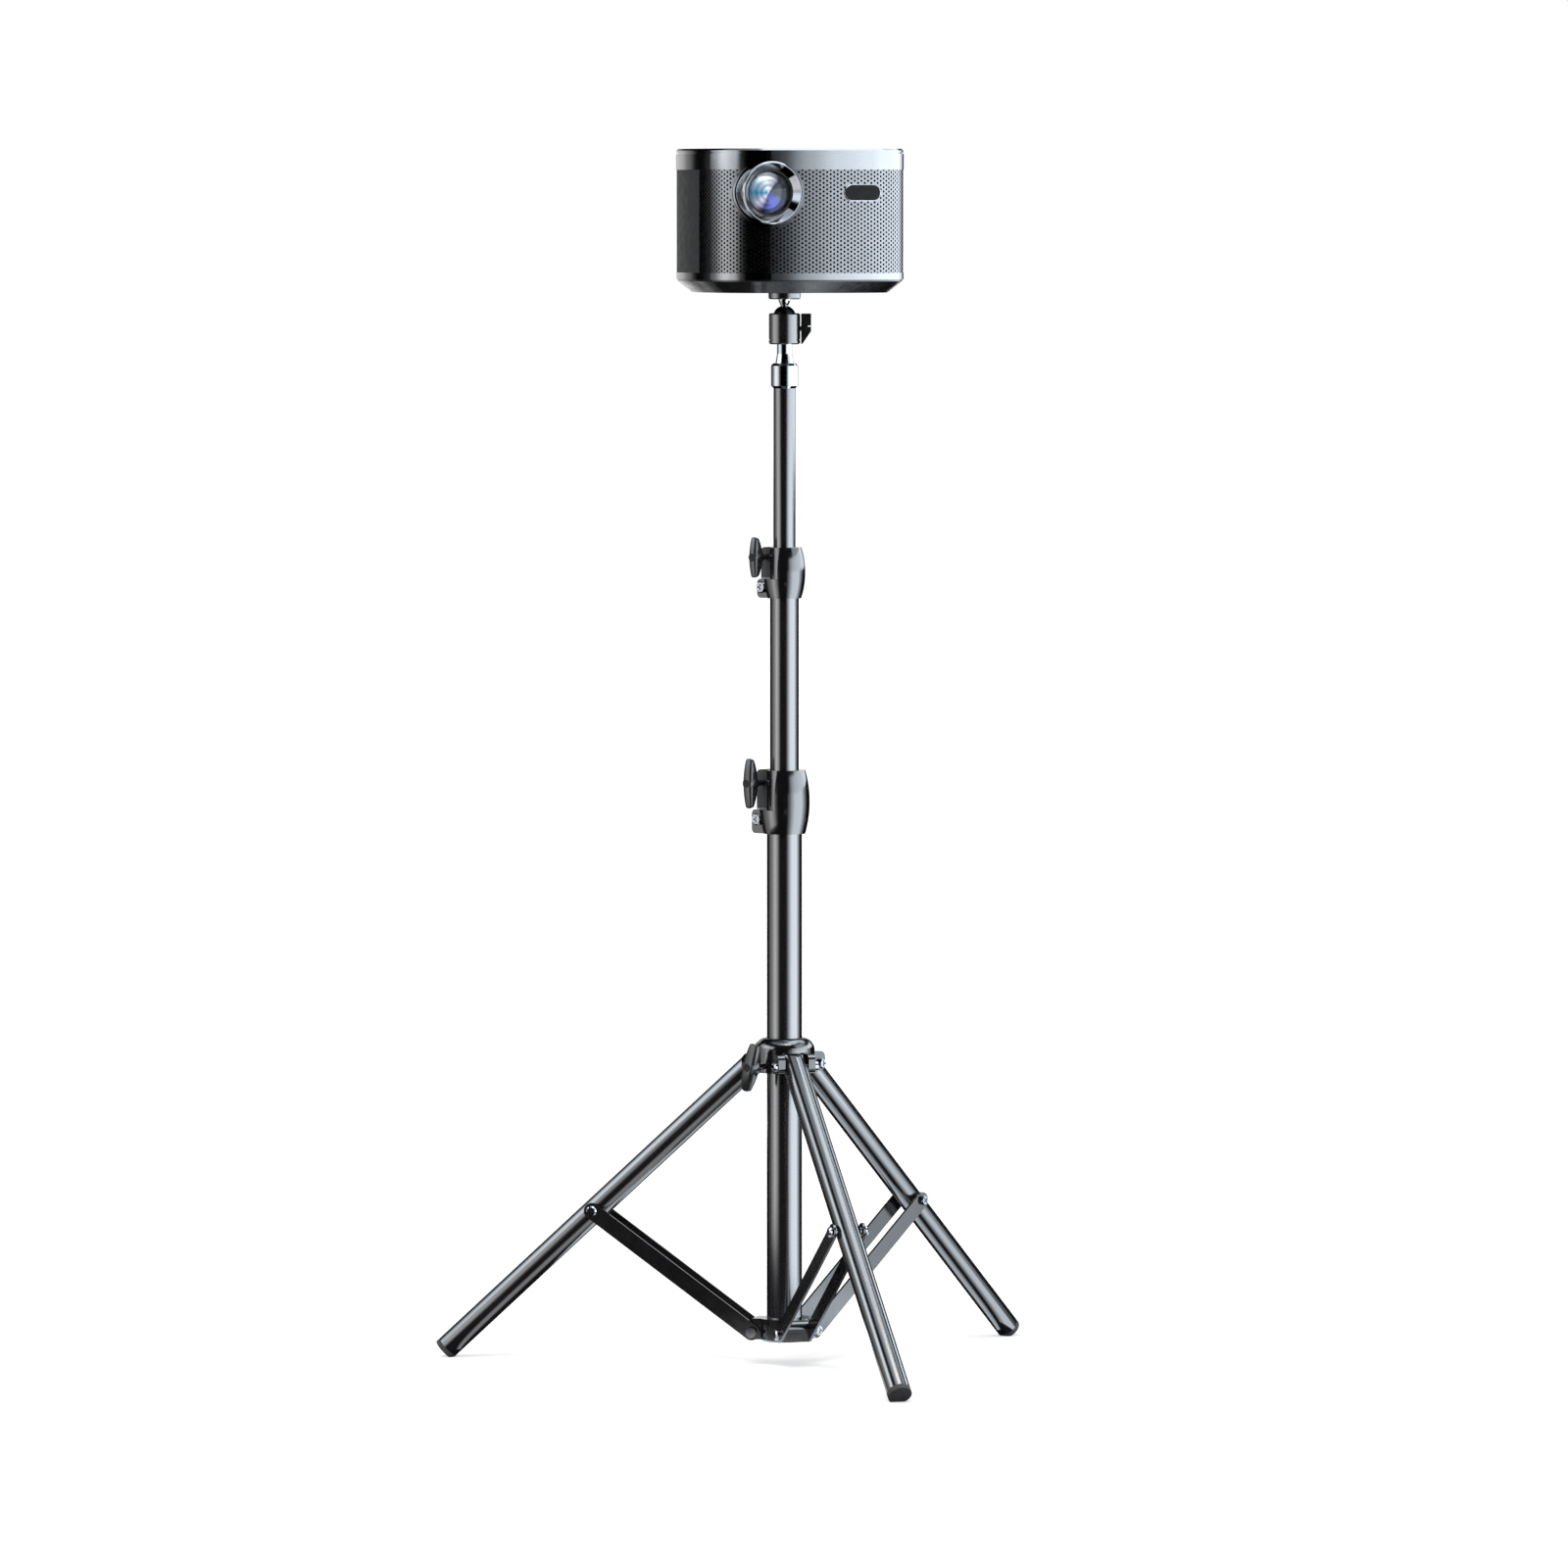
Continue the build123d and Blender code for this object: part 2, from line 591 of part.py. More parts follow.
def ball_stud():
    """Ball, neck, cone and camera screw in one turned piece."""
    neck_r, cone_r, screw_r = STUD_NECK_D / 2, STUD_CONE_D / 2, CAMERA_SCREW_D / 2
    stem = turned([
        (0, BALL_Z),
        (neck_r, BALL_Z),
        (neck_r, BALL_TOP),
        (cone_r, PLATE_Z - STUD_CONE_RIM),
        (cone_r, PLATE_Z),
        (screw_r, PLATE_Z),
        (screw_r, PROJECTOR_Z + CAMERA_SCREW_LENGTH),
        (0, PROJECTOR_Z + CAMERA_SCREW_LENGTH),
    ])
    return stem + Pos(0, 0, BALL_Z) * Sphere(BALL_R)


def mounting_plate():
    plate = pipe(PLATE_D / 2, CAMERA_SCREW_D / 2, PLATE_Z, PROJECTOR_Z)
    rims = plate.edges().filter_by(GeomType.CIRCLE).sort_by(SortBy.RADIUS)[-2:]
    return chamfer(rims, PLATE_CHAMFER)


def head_knob():
    """Lever knob on the side of the head, thick above its screw and drawn out to a thin tip below."""
    inner = -HEAD_R - HEAD_KNOB_GAP
    outer = inner - HEAD_KNOB_THICKNESS
    half = HEAD_KNOB_LENGTH / 2
    side = Polyline([
        (0, inner, half),
        (0, outer, half),
        (0, outer, HEAD_KNOB_TAPER_START),
        (0, inner - HEAD_KNOB_TIP, -half),
        (0, inner, -half),
    ], close=True)
    lever = extrude(make_face(side), HEAD_KNOB_WIDTH / 2, dir=(1, 0, 0), both=True)
    lever = fillet(lever.edges().filter_by(Axis.Y), HEAD_KNOB_CORNER)
    slot_foot = HEAD_KNOB_SLOT_HEIGHT - HEAD_KNOB_SLOT_WIDTH / 2
    slot_top = HEAD_KNOB_SLOT_HEIGHT + HEAD_KNOB_SLOT_WIDTH / 2
    span = (-HEAD_KNOB_WIDTH, HEAD_KNOB_WIDTH)
    lever -= block(span, (outer - 1, outer + HEAD_KNOB_SLOT_DEPTH), (slot_foot, slot_top))
    lever -= rod(HEAD_KNOB_SCREW_D / 2, inner - HEAD_KNOB_THICKNESS / 2, 0)
    return at_head_knob(lever)


def head_knob_screw():
    start = -HEAD_R - HEAD_KNOB_GAP - HEAD_KNOB_THICKNESS / 2
    return at_head_knob(rod(HEAD_KNOB_SCREW_D / 2, start, -CUP_R - SLIDE_CLEARANCE - SIDE_CLEARANCE))


# Tripod


def lower_hub():
    """Hub ring at the foot of the mast with a lug for each brace."""
    radius = HUB_D / 2
    hub = post(radius, HUB_BOTTOM, HUB_BOTTOM + HUB_HEIGHT)
    hub = chamfer(hub.edges().sort_by(Axis.Z)[:1], HUB_CHAMFER)
    reach = HUB_PIVOT_RADIUS + HUB_LUG_REACH
    for azimuth in LEG_AZIMUTHS:
        z_range = (HUB_Z - HUB_LUG_BELOW_PIVOT, HUB_BOTTOM + HUB_HEIGHT)
        lug = block((0, reach), (-HUB_LUG_HALF, HUB_LUG_HALF), z_range)
        outer = lug.edges().filter_by(Axis.Y).group_by(Axis.X)[-1].sort_by(Axis.Z)
        lug = fillet(outer[-1:], HUB_LUG_CORNER)
        hub += Rot(0, 0, azimuth) * lug
    hub -= post(LOWER_TUBE_D / 2, LOWER_TUBE_FOOT, HUB_BOTTOM + HUB_HEIGHT + 1)
    for azimuth in LEG_AZIMUTHS:
        hub -= across_pivot(rod(PIN_R, -HUB_D, HUB_D), HUB_PIVOT_RADIUS, HUB_Z, azimuth)
    return hub


def pivot_bolt(half_width):
    """Bolt along Y with a cross-recess head, closed by a round nut, across two outer faces."""
    return cross_bolt(
        -half_width - BOLT_HEAD_HEIGHT, BOLT_HEAD_D, PIVOT_PIN_D,
        half_width + BOLT_HEAD_HEIGHT, half_width, BOLT_HEAD_D)


def hub_pivot_bolts():
    bolt = pivot_bolt(BRACE_OUTER + SIDE_CLEARANCE)
    return [across_pivot(bolt, HUB_PIVOT_RADIUS, HUB_Z, azimuth) for azimuth in LEG_AZIMUTHS]


def leg_collar():
    """Sliding collar with a domed top and a clevis under it for each leg."""
    radius = LEG_COLLAR_D / 2
    foot = PIVOT_Z - LEG_COLLAR_BELOW_PIVOT
    roof = PIVOT_Z + LEG_R + SIDE_CLEARANCE
    bore = LOWER_TUBE_D / 2 + SLIDE_CLEARANCE
    sleeve = bore + LEG_COLLAR_SLEEVE_WALL
    top = roof + LEG_COLLAR_DOME_HEIGHT
    rim, crown = Vector(radius, 0, roof), Vector(sleeve, 0, top)
    outward = Vector(top - roof, 0, radius - sleeve).normalized()
    side = ThreePointArc(rim, (rim + crown) * 0.5 + outward * LEG_COLLAR_DOME_BULGE, crown)
    ends = Polyline([crown, (0, 0, top), (0, 0, foot), (radius, 0, foot), rim])
    body = revolve(make_face(side.edges() + ends.edges()), Axis.Z, 360)
    reach = LEG_PIVOT_RADIUS + CLEVIS_REACH
    for azimuth in LEG_AZIMUTHS:
        ears = block((0, reach), (-CLEVIS_OUTER, CLEVIS_OUTER), (foot, roof))
        ears = fillet(ears.edges().filter_by(Axis.Y).group_by(Axis.X)[-1], CLEVIS_REACH)
        body += Rot(0, 0, azimuth) * ears
    for azimuth in LEG_AZIMUTHS:
        slot = block((0, reach + 1), (-CLEVIS_INNER, CLEVIS_INNER), (foot - 1, roof))
        slot -= post(sleeve, foot - 2, roof + 1)
        body -= Rot(0, 0, azimuth) * slot
        body -= across_pivot(rod(PIN_R, -CLEVIS_OUTER, CLEVIS_OUTER), LEG_PIVOT_RADIUS, PIVOT_Z, azimuth)
    body -= post(bore, foot - 1, top + 1)
    screw_hole = rod(KNOB_SCREW_D / 2 + RUNNING_CLEARANCE, -radius - 1, -bore + 1)
    return body - at_leg_collar_knob(screw_hole)


def leg_pivot_pins():
    pin = pivot_bolt(CLEVIS_OUTER)
    return [across_pivot(pin, LEG_PIVOT_RADIUS, PIVOT_Z, azimuth) for azimuth in LEG_AZIMUTHS]


def at_leg_collar_knob(piece):
    """Place a piece built along -Y on the leg collar's knob axis."""
    return Rot(0, 0, KNOB_AZIMUTH + 90) * Pos(0, 0, PIVOT_Z) * piece


def leg_collar_knob():
    face = LEG_COLLAR_KNOB_CENTRE + KNOB_ARM_THICKNESS
    knob = wing_knob(face, LEG_COLLAR_KNOB_HEIGHT, LEG_COLLAR_KNOB_WIDTH)
    return at_leg_collar_knob(Rot(0, LEG_COLLAR_KNOB_TURN, 0) * knob)


def leg_knob_screw():
    face = LEG_COLLAR_KNOB_CENTRE + KNOB_ARM_THICKNESS
    return at_leg_collar_knob(knob_screw(face, -LOWER_TUBE_D / 2 - SIDE_CLEARANCE))


def along_leg(piece, azimuth):
    """Place a piece built down -Z from the pivot into a leg's line."""
    return Rot(0, 0, azimuth) * Pos(LEG_PIVOT_RADIUS, 0, PIVOT_Z) * Rot(0, -LEG_SPREAD, 0) * piece


def leg_tube(azimuth):
    """Leg tube with its upper end rounded about the pivot pin."""
    inner = LEG_R - TUBE_WALL
    end = -LEG_LENGTH + FOOT_CAP_LENGTH
    tube = pipe(LEG_R, inner, end, LEG_R)
    straight = block((-LEG_D, LEG_D), (-LEG_D, LEG_D), (end - 1, 0))
    tube &= straight + rod(LEG_R, -LEG_D, LEG_D)
    tube -= rod(PIN_R + RUNNING_CLEARANCE, -LEG_D, LEG_D)
    return along_leg(tube, azimuth)


def foot_plug(azimuth):
    """Rubber end plug, flush with the leg and flat where it meets the floor."""
    inner = LEG_R - TUBE_WALL
    seat = -LEG_LENGTH + FOOT_CAP_LENGTH
    plug = post(LEG_R, -LEG_LENGTH, seat) + post(inner, seat, seat + FOOT_SPIGOT_LENGTH)
    plug = along_leg(plug, azimuth)
    span = 4 * LEG_LENGTH
    return plug - block((-span, span), (-span, span), (FLOOR - LEG_D, FLOOR))


def brace_bars(azimuth):
    """Two flat bars with round ends, one each side of the leg."""
    bars = []
    for side in (-1, 1):
        outline = Pos(0, 0, BRACE_LENGTH / 2) * Rot(90, 0, 0) * Rot(0, 0, 90) * SlotCenterToCenter(
            BRACE_LENGTH, BRACE_WIDTH)
        bar = extrude(outline, BRACE_THICKNESS / 2, both=True)
        bar = Pos(0, side * (BRACE_HALF_SPACING + BRACE_THICKNESS / 2), 0) * bar
        bar -= rod(PIN_R + RUNNING_CLEARANCE, -LEG_D, LEG_D)
        bar -= Pos(0, 0, BRACE_LENGTH) * rod(PIN_R, -LEG_D, LEG_D)
        bars.append(along_brace(bar, azimuth))
    return bars


def brace_bolts(azimuth):
    """Shoulder bolts in the outer ends of the bars, one each side of the leg."""
    bolts = []
    for turn in (0, 180):
        head = rod(BOLT_HEAD_D / 2, -BRACE_OUTER - BOLT_HEAD_HEIGHT, -BRACE_OUTER)
        head = chamfer(head.edges().sort_by(Axis.Y)[:1], BOLT_HEAD_CHAMFER)
        shank = rod(PIN_R, -BRACE_OUTER, -BRACE_HALF_SPACING)
        spacer = rod(BRACE_SPACER_D / 2, -BRACE_HALF_SPACING, -CLEVIS_INNER)
        bolt = head + shank + spacer - cross_recess(-BRACE_OUTER - BOLT_HEAD_HEIGHT)
        bolts.append(along_brace(Pos(0, 0, BRACE_LENGTH) * Rot(0, 0, turn) * bolt, azimuth))
    return bolts


def along_brace(piece, azimuth):
    """Place a piece built up +Z from the hub pivot into a brace's line."""
    angle = degrees(BRACE_ANGLE)
    return Rot(0, 0, azimuth) * Pos(HUB_PIVOT_RADIUS, 0, HUB_Z) * Rot(0, angle, 0) * piece


# Projector


def footprint(inset):
    """Rounded outline with four bowed sides, drawn in by an inset, or out by a negative one."""
    disc = Circle(PROJECTOR_SIDE_RADIUS - inset)
    x = PROJECTOR_SIDE_RADIUS - PROJECTOR_WIDTH / 2
    y = PROJECTOR_SIDE_RADIUS - PROJECTOR_DEPTH / 2
    face = (Pos(x, 0) * disc) & (Pos(-x, 0) * disc) & (Pos(0, y) * disc) & (Pos(0, -y) * disc)
    return Pos(0, -PROJECTOR_FORWARD, 0) * fillet(face.vertices(), PROJECTOR_CORNER - inset)


def slab(inset, foot, top):
    """Upright prism of the projector's outline."""
    return extrude(Pos(0, 0, foot) * footprint(inset), top - foot)


def wall(inset, thickness, foot, top):
    """Upright wall that follows the projector's outline."""
    return slab(inset, foot, top) - slab(inset + thickness, foot - 1, top + 1)


def behind_grille_end():
    """Block that holds everything behind the line where the grille ends on each side."""
    reach = PROJECTOR_WIDTH
    return block((-reach, reach), (GRILLE_END_Y, reach), (GRILLE_Z - 1, UPPER_TRIM_Z + 1))


def at_lens(piece):
    """Place a piece built up +Z from the front's foremost plane on the lens axis, looking along -Y."""
    return Pos(LENS_ACROSS, FRONT_Y, LENS_Z) * Rot(90, 0, 0) * piece


def lens_hole():
    return at_lens(post(FLANGE_D / 2 + FIT_GAP, -2 * BEZEL_DEPTH, BEZEL_DEPTH))


def sensor_shape(gap):
    """Round-ended prism along Y through the front at the sensor window."""
    outline = Rot(90, 0, 0) * SlotOverall(SENSOR_WIDTH + 2 * gap, SENSOR_HEIGHT + 2 * gap)
    return Pos(SENSOR_ACROSS, FRONT_Y, LENS_Z) * extrude(outline, BEZEL_DEPTH, both=True)


def panel_shape(start, end, gap):
    """Rounded block along Y at the port panel."""
    width, height = PORT_PANEL_WIDTH + 2 * gap, PORT_PANEL_HEIGHT + 2 * gap
    outline = Rot(90, 0, 0) * RectangleRounded(width, height, PORT_PANEL_CORNER)
    return Pos(0, end, PANEL_Z) * extrude(outline, end - start)


def projector_base():
    """Hollow tray with slanted sides and a threaded boss for the camera screw."""
    slant_top = PROJECTOR_Z + BASE_SLANT_UP
    bottom = Pos(0, 0, PROJECTOR_Z) * footprint(BASE_INSET + BASE_SLANT_IN)
    tray = loft([bottom, Pos(0, 0, slant_top) * footprint(BASE_INSET)], ruled=True)
    tray += slab(BASE_INSET, slant_top, LOWER_TRIM_Z)
    tray -= slab(BASE_INSET + BASE_SLANT_IN, PROJECTOR_Z + BASE_FLOOR, LOWER_TRIM_Z + 1)
    tray += post(BASE_BOSS_D / 2, PROJECTOR_Z + BASE_FLOOR, PROJECTOR_Z + BASE_BOSS_HEIGHT)
    return tray - post(CAMERA_SCREW_D / 2, PROJECTOR_Z - 1, PROJECTOR_Z + CAMERA_SCREW_LENGTH)


def lower_trim_band():
    return wall(0, TRIM_WALL, LOWER_TRIM_Z, GRILLE_Z)


def front_wall(inset, thickness):
    """Wall round the front as far as the grille's ends, open at the lens and the sensor window."""
    skin = wall(inset, thickness, GRILLE_Z, UPPER_TRIM_Z) - behind_grille_end()
    return skin - lens_hole() - sensor_shape(FIT_GAP)


def grille_wrap():
    return front_wall(GRILLE_INSET, GRILLE_THICKNESS)


def inner_liner():
    return front_wall(LINER_INSET, LINER_THICKNESS)


def rear_cover():
    """Plain moulded cover round the back, open at the port panel."""
    cover = wall(GRILLE_INSET, COVER_THICKNESS, GRILLE_Z, UPPER_TRIM_Z) & behind_grille_end()
    return cover - panel_shape(0, REAR_Y + 1, FIT_GAP)


def upper_trim_band():
    return wall(0, TRIM_WALL, UPPER_TRIM_Z, LID_Z) - lens_hole()


def top_lid():
    """Lid plate over a shadow groove, with a chamfered rim."""
    plate = slab(LID_INSET, LID_Z + LID_GROOVE_HEIGHT, PROJECTOR_TOP)
    plate = chamfer(plate.faces().sort_by(Axis.Z)[-1].edges(), LID_CHAMFER)
    return plate + slab(LID_GROOVE_DEPTH, LID_Z, LID_Z + LID_GROOVE_HEIGHT)


def lens_bezel():
    """Bright ring with a coned mouth, and a thin flange round it that follows the bowed front."""
    outer, mouth, throat = BEZEL_D / 2, BEZEL_MOUTH_D / 2, BEZEL_THROAT_D / 2
    ring = turned([
        (throat, -BEZEL_DEPTH),
        (outer, -BEZEL_DEPTH),
        (outer, BEZEL_PROUD - BEZEL_CHAMFER),
        (outer - BEZEL_CHAMFER, BEZEL_PROUD),
        (mouth, BEZEL_PROUD),
        (throat, BEZEL_PROUD - BEZEL_CONE_DEPTH),
    ])
    skin = wall(-FLANGE_PROUD, FLANGE_PROUD + FLANGE_DEPTH, GRILLE_Z, LID_Z)
    rim = pipe(FLANGE_D / 2, FLANGE_D / 2 - FLANGE_RIM, -2 * BEZEL_DEPTH, BEZEL_DEPTH)
    return [at_lens(ring), skin & at_lens(rim)]


BARREL_FACE = BEZEL_PROUD - BEZEL_CONE_DEPTH - BARREL_RECESS
GLASS_SEAT = BARREL_FACE - BARREL_SLOPE - GLASS_EDGE


def lens_barrel():
    """Dark barrel behind the bezel, with a sloped mouth and a ledge for the glass."""
    outer, bore = BEZEL_THROAT_D / 2 - FIT_GAP, GLASS_D / 2 + FIT_GAP
    floor = BARREL_BACK - BEZEL_DEPTH
    return at_lens(turned([
        (0, -BEZEL_DEPTH),
        (outer, -BEZEL_DEPTH),
        (outer, BARREL_FACE),
        (bore, BARREL_FACE - BARREL_SLOPE),
        (bore, GLASS_SEAT),
        (bore - BARREL_LEDGE, GLASS_SEAT),
        (bore - BARREL_LEDGE, floor),
        (0, floor),
    ]))


def lens_glass():
    """Front glass on the barrel's ledge, bulged outward."""
    radius = GLASS_D / 2
    front = GLASS_SEAT + GLASS_EDGE + GLASS_BULGE
    sphere_r = (radius ** 2 + GLASS_BULGE ** 2) / (2 * GLASS_BULGE)
    return at_lens(post(radius, GLASS_SEAT, front) & Pos(0, 0, front - sphere_r) * Sphere(sphere_r))


def sensor_window():
    """Dark window that follows the bowed front."""
    skin = wall(-SENSOR_PROUD, SENSOR_PROUD + SENSOR_DEPTH, GRILLE_Z, UPPER_TRIM_Z)
    return skin & sensor_shape(0)


def rear_port_panel():
    """Panel with plain port openings and a bored seat for the power inlet."""
    panel = panel_shape(PANEL_Y - PORT_PANEL_DEPTH, PANEL_Y, 0)
    for index, width in enumerate(PORT_WIDTHS, start=1):
        port = Rot(90, 0, 0) * RectangleRounded(width, PORT_HEIGHT, PORT_CORNER)
        cut = Pos(0, PANEL_Y + 1, 0) * extrude(port, PORT_DEPTH + 1)
        panel -= Pos((PORT_ROW_START + index) * PORT_PITCH, 0, PANEL_Z) * cut
    return panel - at_inlet(rod(INLET_D / 2, PANEL_Y - PORT_DEPTH, PANEL_Y + 1))


def at_inlet(piece):
    """Place a piece built along Y on the power inlet's axis."""
    return Pos(PORT_ROW_START * PORT_PITCH, 0, PANEL_Z) * piece


def power_inlet():
    """Round low-voltage inlet with a centre pin."""
    back = PANEL_Y - PORT_DEPTH
    socket = rod(INLET_D / 2, back, PANEL_Y) - rod(INLET_BORE_D / 2, back + INLET_FLOOR, PANEL_Y + 1)
    return at_inlet(socket + rod(INLET_PIN_D / 2, back, PANEL_Y - INLET_FLOOR))


def write(name, shape):
    """Write one node, joining separate solids into one file."""
    pieces = shape if isinstance(shape, list) else [shape]
    solids = [solid for piece in pieces for solid in piece.solids()]
    export_step(Compound(children=solids), f"parts/{name}.step")


SINGLE_NODES = (
    lower_mast_tube, middle_mast_tube, top_mast_tube, lower_hub, hub_pivot_bolts, lower_collar,
    lower_collar_knob, lower_knob_screw, upper_collar, upper_collar_knob, upper_knob_screw, spigot,
    ball_head_body, ball_cup, ball_stud, mounting_plate, head_knob, head_knob_screw, leg_collar,
    leg_pivot_pins, leg_collar_knob, leg_knob_screw, projector_base, lower_trim_band, grille_wrap,
    inner_liner, rear_cover, upper_trim_band, top_lid, lens_bezel, lens_barrel, lens_glass,
    sensor_window, rear_port_panel, power_inlet,
)
LEG_NAMES = ("right", "left", "front")

os.makedirs("parts", exist_ok=True)
for make in SINGLE_NODES:
    write(make.__name__, make())
write("lower_collar_bolt", clamp_bolt(LOWER_EAR, LOWER_COLLAR_Z))
write("upper_collar_bolt", clamp_bolt(UPPER_EAR, UPPER_COLLAR_Z))
for leg, direction in zip(LEG_NAMES, LEG_AZIMUTHS):
    write(f"{leg}_leg_tube", leg_tube(direction))
    write(f"{leg}_foot_plug", foot_plug(direction))
    write(f"{leg}_brace_bars", brace_bars(direction))
    write(f"{leg}_brace_bolts", brace_bolts(direction))
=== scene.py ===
import json
from math import asin, atan2, cos, hypot, pi, radians, sin, sqrt

import bpy
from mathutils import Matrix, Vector


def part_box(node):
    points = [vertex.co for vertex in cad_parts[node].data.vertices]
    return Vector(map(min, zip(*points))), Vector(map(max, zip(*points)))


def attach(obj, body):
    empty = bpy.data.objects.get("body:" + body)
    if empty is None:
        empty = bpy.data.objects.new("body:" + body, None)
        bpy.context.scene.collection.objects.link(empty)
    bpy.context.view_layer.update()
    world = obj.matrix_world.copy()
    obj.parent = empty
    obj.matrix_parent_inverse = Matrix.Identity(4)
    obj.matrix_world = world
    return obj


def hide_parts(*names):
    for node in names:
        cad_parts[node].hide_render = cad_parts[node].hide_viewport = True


# Portable projector on a folding tripod stand: finishes, perforated grille, lens, wing knobs and studio.
# Metres, +Z up, origin on the floor under the mast, the projector looks along -Y.

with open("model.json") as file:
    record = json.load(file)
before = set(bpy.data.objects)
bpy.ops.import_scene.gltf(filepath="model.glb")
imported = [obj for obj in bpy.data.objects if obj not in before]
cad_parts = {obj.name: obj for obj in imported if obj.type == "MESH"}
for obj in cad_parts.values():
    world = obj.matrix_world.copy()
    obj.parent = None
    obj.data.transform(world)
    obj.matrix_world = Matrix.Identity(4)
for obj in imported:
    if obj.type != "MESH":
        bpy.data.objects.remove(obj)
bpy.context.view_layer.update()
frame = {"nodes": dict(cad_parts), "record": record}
MM = 0.001

# Camera, at the photograph's viewing angle
IMAGE_WIDTH = 1600
FOCAL_PIXELS = 10544.1
SENSOR_WIDTH_MM = 36.0
VIEW_AZIMUTH = radians(-18.698)
VIEW_TILT = radians(3.248)
EYE_HEIGHT = 0.930
EYE_DISTANCE = 8.1871
EYE_ASIDE = -0.000343
CLIP_END = 100.0

# Angle in degrees past which an edge is shaded as sharp
SHARP_ANGLE = 35.0

# Projector outline, as the housing is built
PROJECTOR_WIDTH = 167.0 * MM
PROJECTOR_SIDE_RADIUS = 260.0 * MM
PROJECTOR_CORNER = 46.0 * MM

# Perforated grille
GRILLE_INSET = 0.5 * MM
GRILLE_THICKNESS = 0.9 * MM
HOLE_PITCH = 3.36 * MM
CELL_REACH = 0.6 * HOLE_PITCH
CELL_SECTOR = pi / 3
HOLE_D = 1.95 * MM
HOLE_SIDES = 12
HOLE_MARGIN = 0.25 * MM
FLANGE_GAP = 0.1 * MM

# Lens
REAR_ELEMENT_R = 14.6 * MM
REAR_ELEMENT_BULGE = 4.0 * MM
REAR_ELEMENT_DEPTH = 5.0 * MM
DOME_STEPS = 20
DOME_POLE_R = 0.02 * MM
BAFFLE_R = 15.4 * MM
BAFFLE_STEPS = 4
LENS_SIDES = 96

# Sensor window
SENSOR_RIM = 0.55 * MM
SENSOR_RIM_PROUD = 0.2 * MM
RIM_TURN_STEPS = 24
RIM_SIDES = 8
RIM_SHARP_ANGLE = 80.0

# Wing knobs
KNOB_BODIES = {
    "lower_collar_knob": "lower_knob",
    "upper_collar_knob": "upper_knob",
    "leg_collar_knob": "leg_lock",
}
KNOB_BOW = 0.13
KNOB_TIP_DEPTH = 3.6 * MM
KNOB_ROOT_DEPTH = 10.5 * MM
KNOB_TIP_SHARE = 0.72
KNOB_ROOT_SHARE = 1.12
KNOB_HUB_SHARE = 1.15
KNOB_HUB_END_SHARE = 0.9
KNOB_HUB_CHAMFER = 0.6 * MM
KNOB_HUB_SUNK = 0.8 * MM
KNOB_SECTIONS = 28
KNOB_SECTION_SIDES = 28
KNOB_SQUARENESS = 3.2
KNOB_TIP_ROUND = 0.12
KNOB_TIP_START = 0.25
KNOB_SHARP_ANGLE = 50.0
# Socket on the knob's face, a shallow cap whose matt black is painted shade for the screw's hole
SOCKET_R = 2.5 * MM
SOCKET_LIP = 0.7 * MM
SOCKET_SUNK = 0.6 * MM
SOCKET_PROUD = SOCKET_SUNK / 3
SOCKET_FLOOR_SHARE = 0.8
SOCKET_SHARP_ANGLE = 40.0

# Cone of a knob's hub, as shares of its radius and of its depth from the root
KNOB_HUB_CONE = ((1.15, 1 / 4), (1.3, 1 / 2))


# Meshes


def make_object(name, data):
    """Object in the scene's collection, from a mesh, a light or a camera."""
    made = bpy.data.objects.new(name, data)
    bpy.context.scene.collection.objects.link(made)
    return made


def mesh_from(name, vertices, faces, sharp_angle=SHARP_ANGLE):
    """Mesh object with smooth faces and sharp edges past an angle."""
    mesh = bpy.data.meshes.new(name)
    mesh.from_pydata(vertices, [], faces)
    mesh.validate()
    mesh.shade_smooth()
    mesh.set_sharp_from_angle(angle=radians(sharp_angle))
    return make_object(name, mesh)


def ring_faces(rows, sides, start=0, closed=False):
    """Faces between rows of vertices in rings, and from the last row to the first when closed."""
    faces = []
    for row in range(rows if closed else rows - 1):
        below = start + row * sides
        above = start + (row + 1) % rows * sides
        for step in range(sides):
            after = (step + 1) % sides
            faces.append((below + step, below + after, above + after, above + step))
    return faces


def turned(name, profile, axis_point):
    """Surface of revolution about a line along -Y through a point, from (radius, forward) pairs."""
    vertices = []
    for radius, forward in profile:
        for step in range(LENS_SIDES):
            angle = 2 * pi * step / LENS_SIDES
            offset = Vector((radius * cos(angle), -forward, radius * sin(angle)))
            vertices.append(axis_point + offset)
    return mesh_from(name, vertices, ring_faces(len(profile), LENS_SIDES))


# Places from the frame


def box_middle(node):
    """Middle of a node's box."""
    low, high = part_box(node)
    return (low + high) / 2


def half_size(node):
    """Half of the size of a node's box."""
    low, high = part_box(node)
    return (high - low) / 2


def joint_of(body):
    """Joint that moves a body, as the record has it."""
    return next(joint for joint in frame["record"]["behaviour"]["joints"] if joint["child"] == body)


LENS_CENTRE = box_middle("lens_glass")
LENS_OPENING_R = half_size("lens_bezel").x + FLANGE_GAP
SENSOR_CENTRE = box_middle("sensor_window")
SENSOR_R = half_size("sensor_window").z
SENSOR_HALF_LINE = half_size("sensor_window").x - SENSOR_R
LEFT_FOOT = box_middle("left_foot_plug")
RIGHT_FOOT = box_middle("right_foot_plug")


# Projector outline


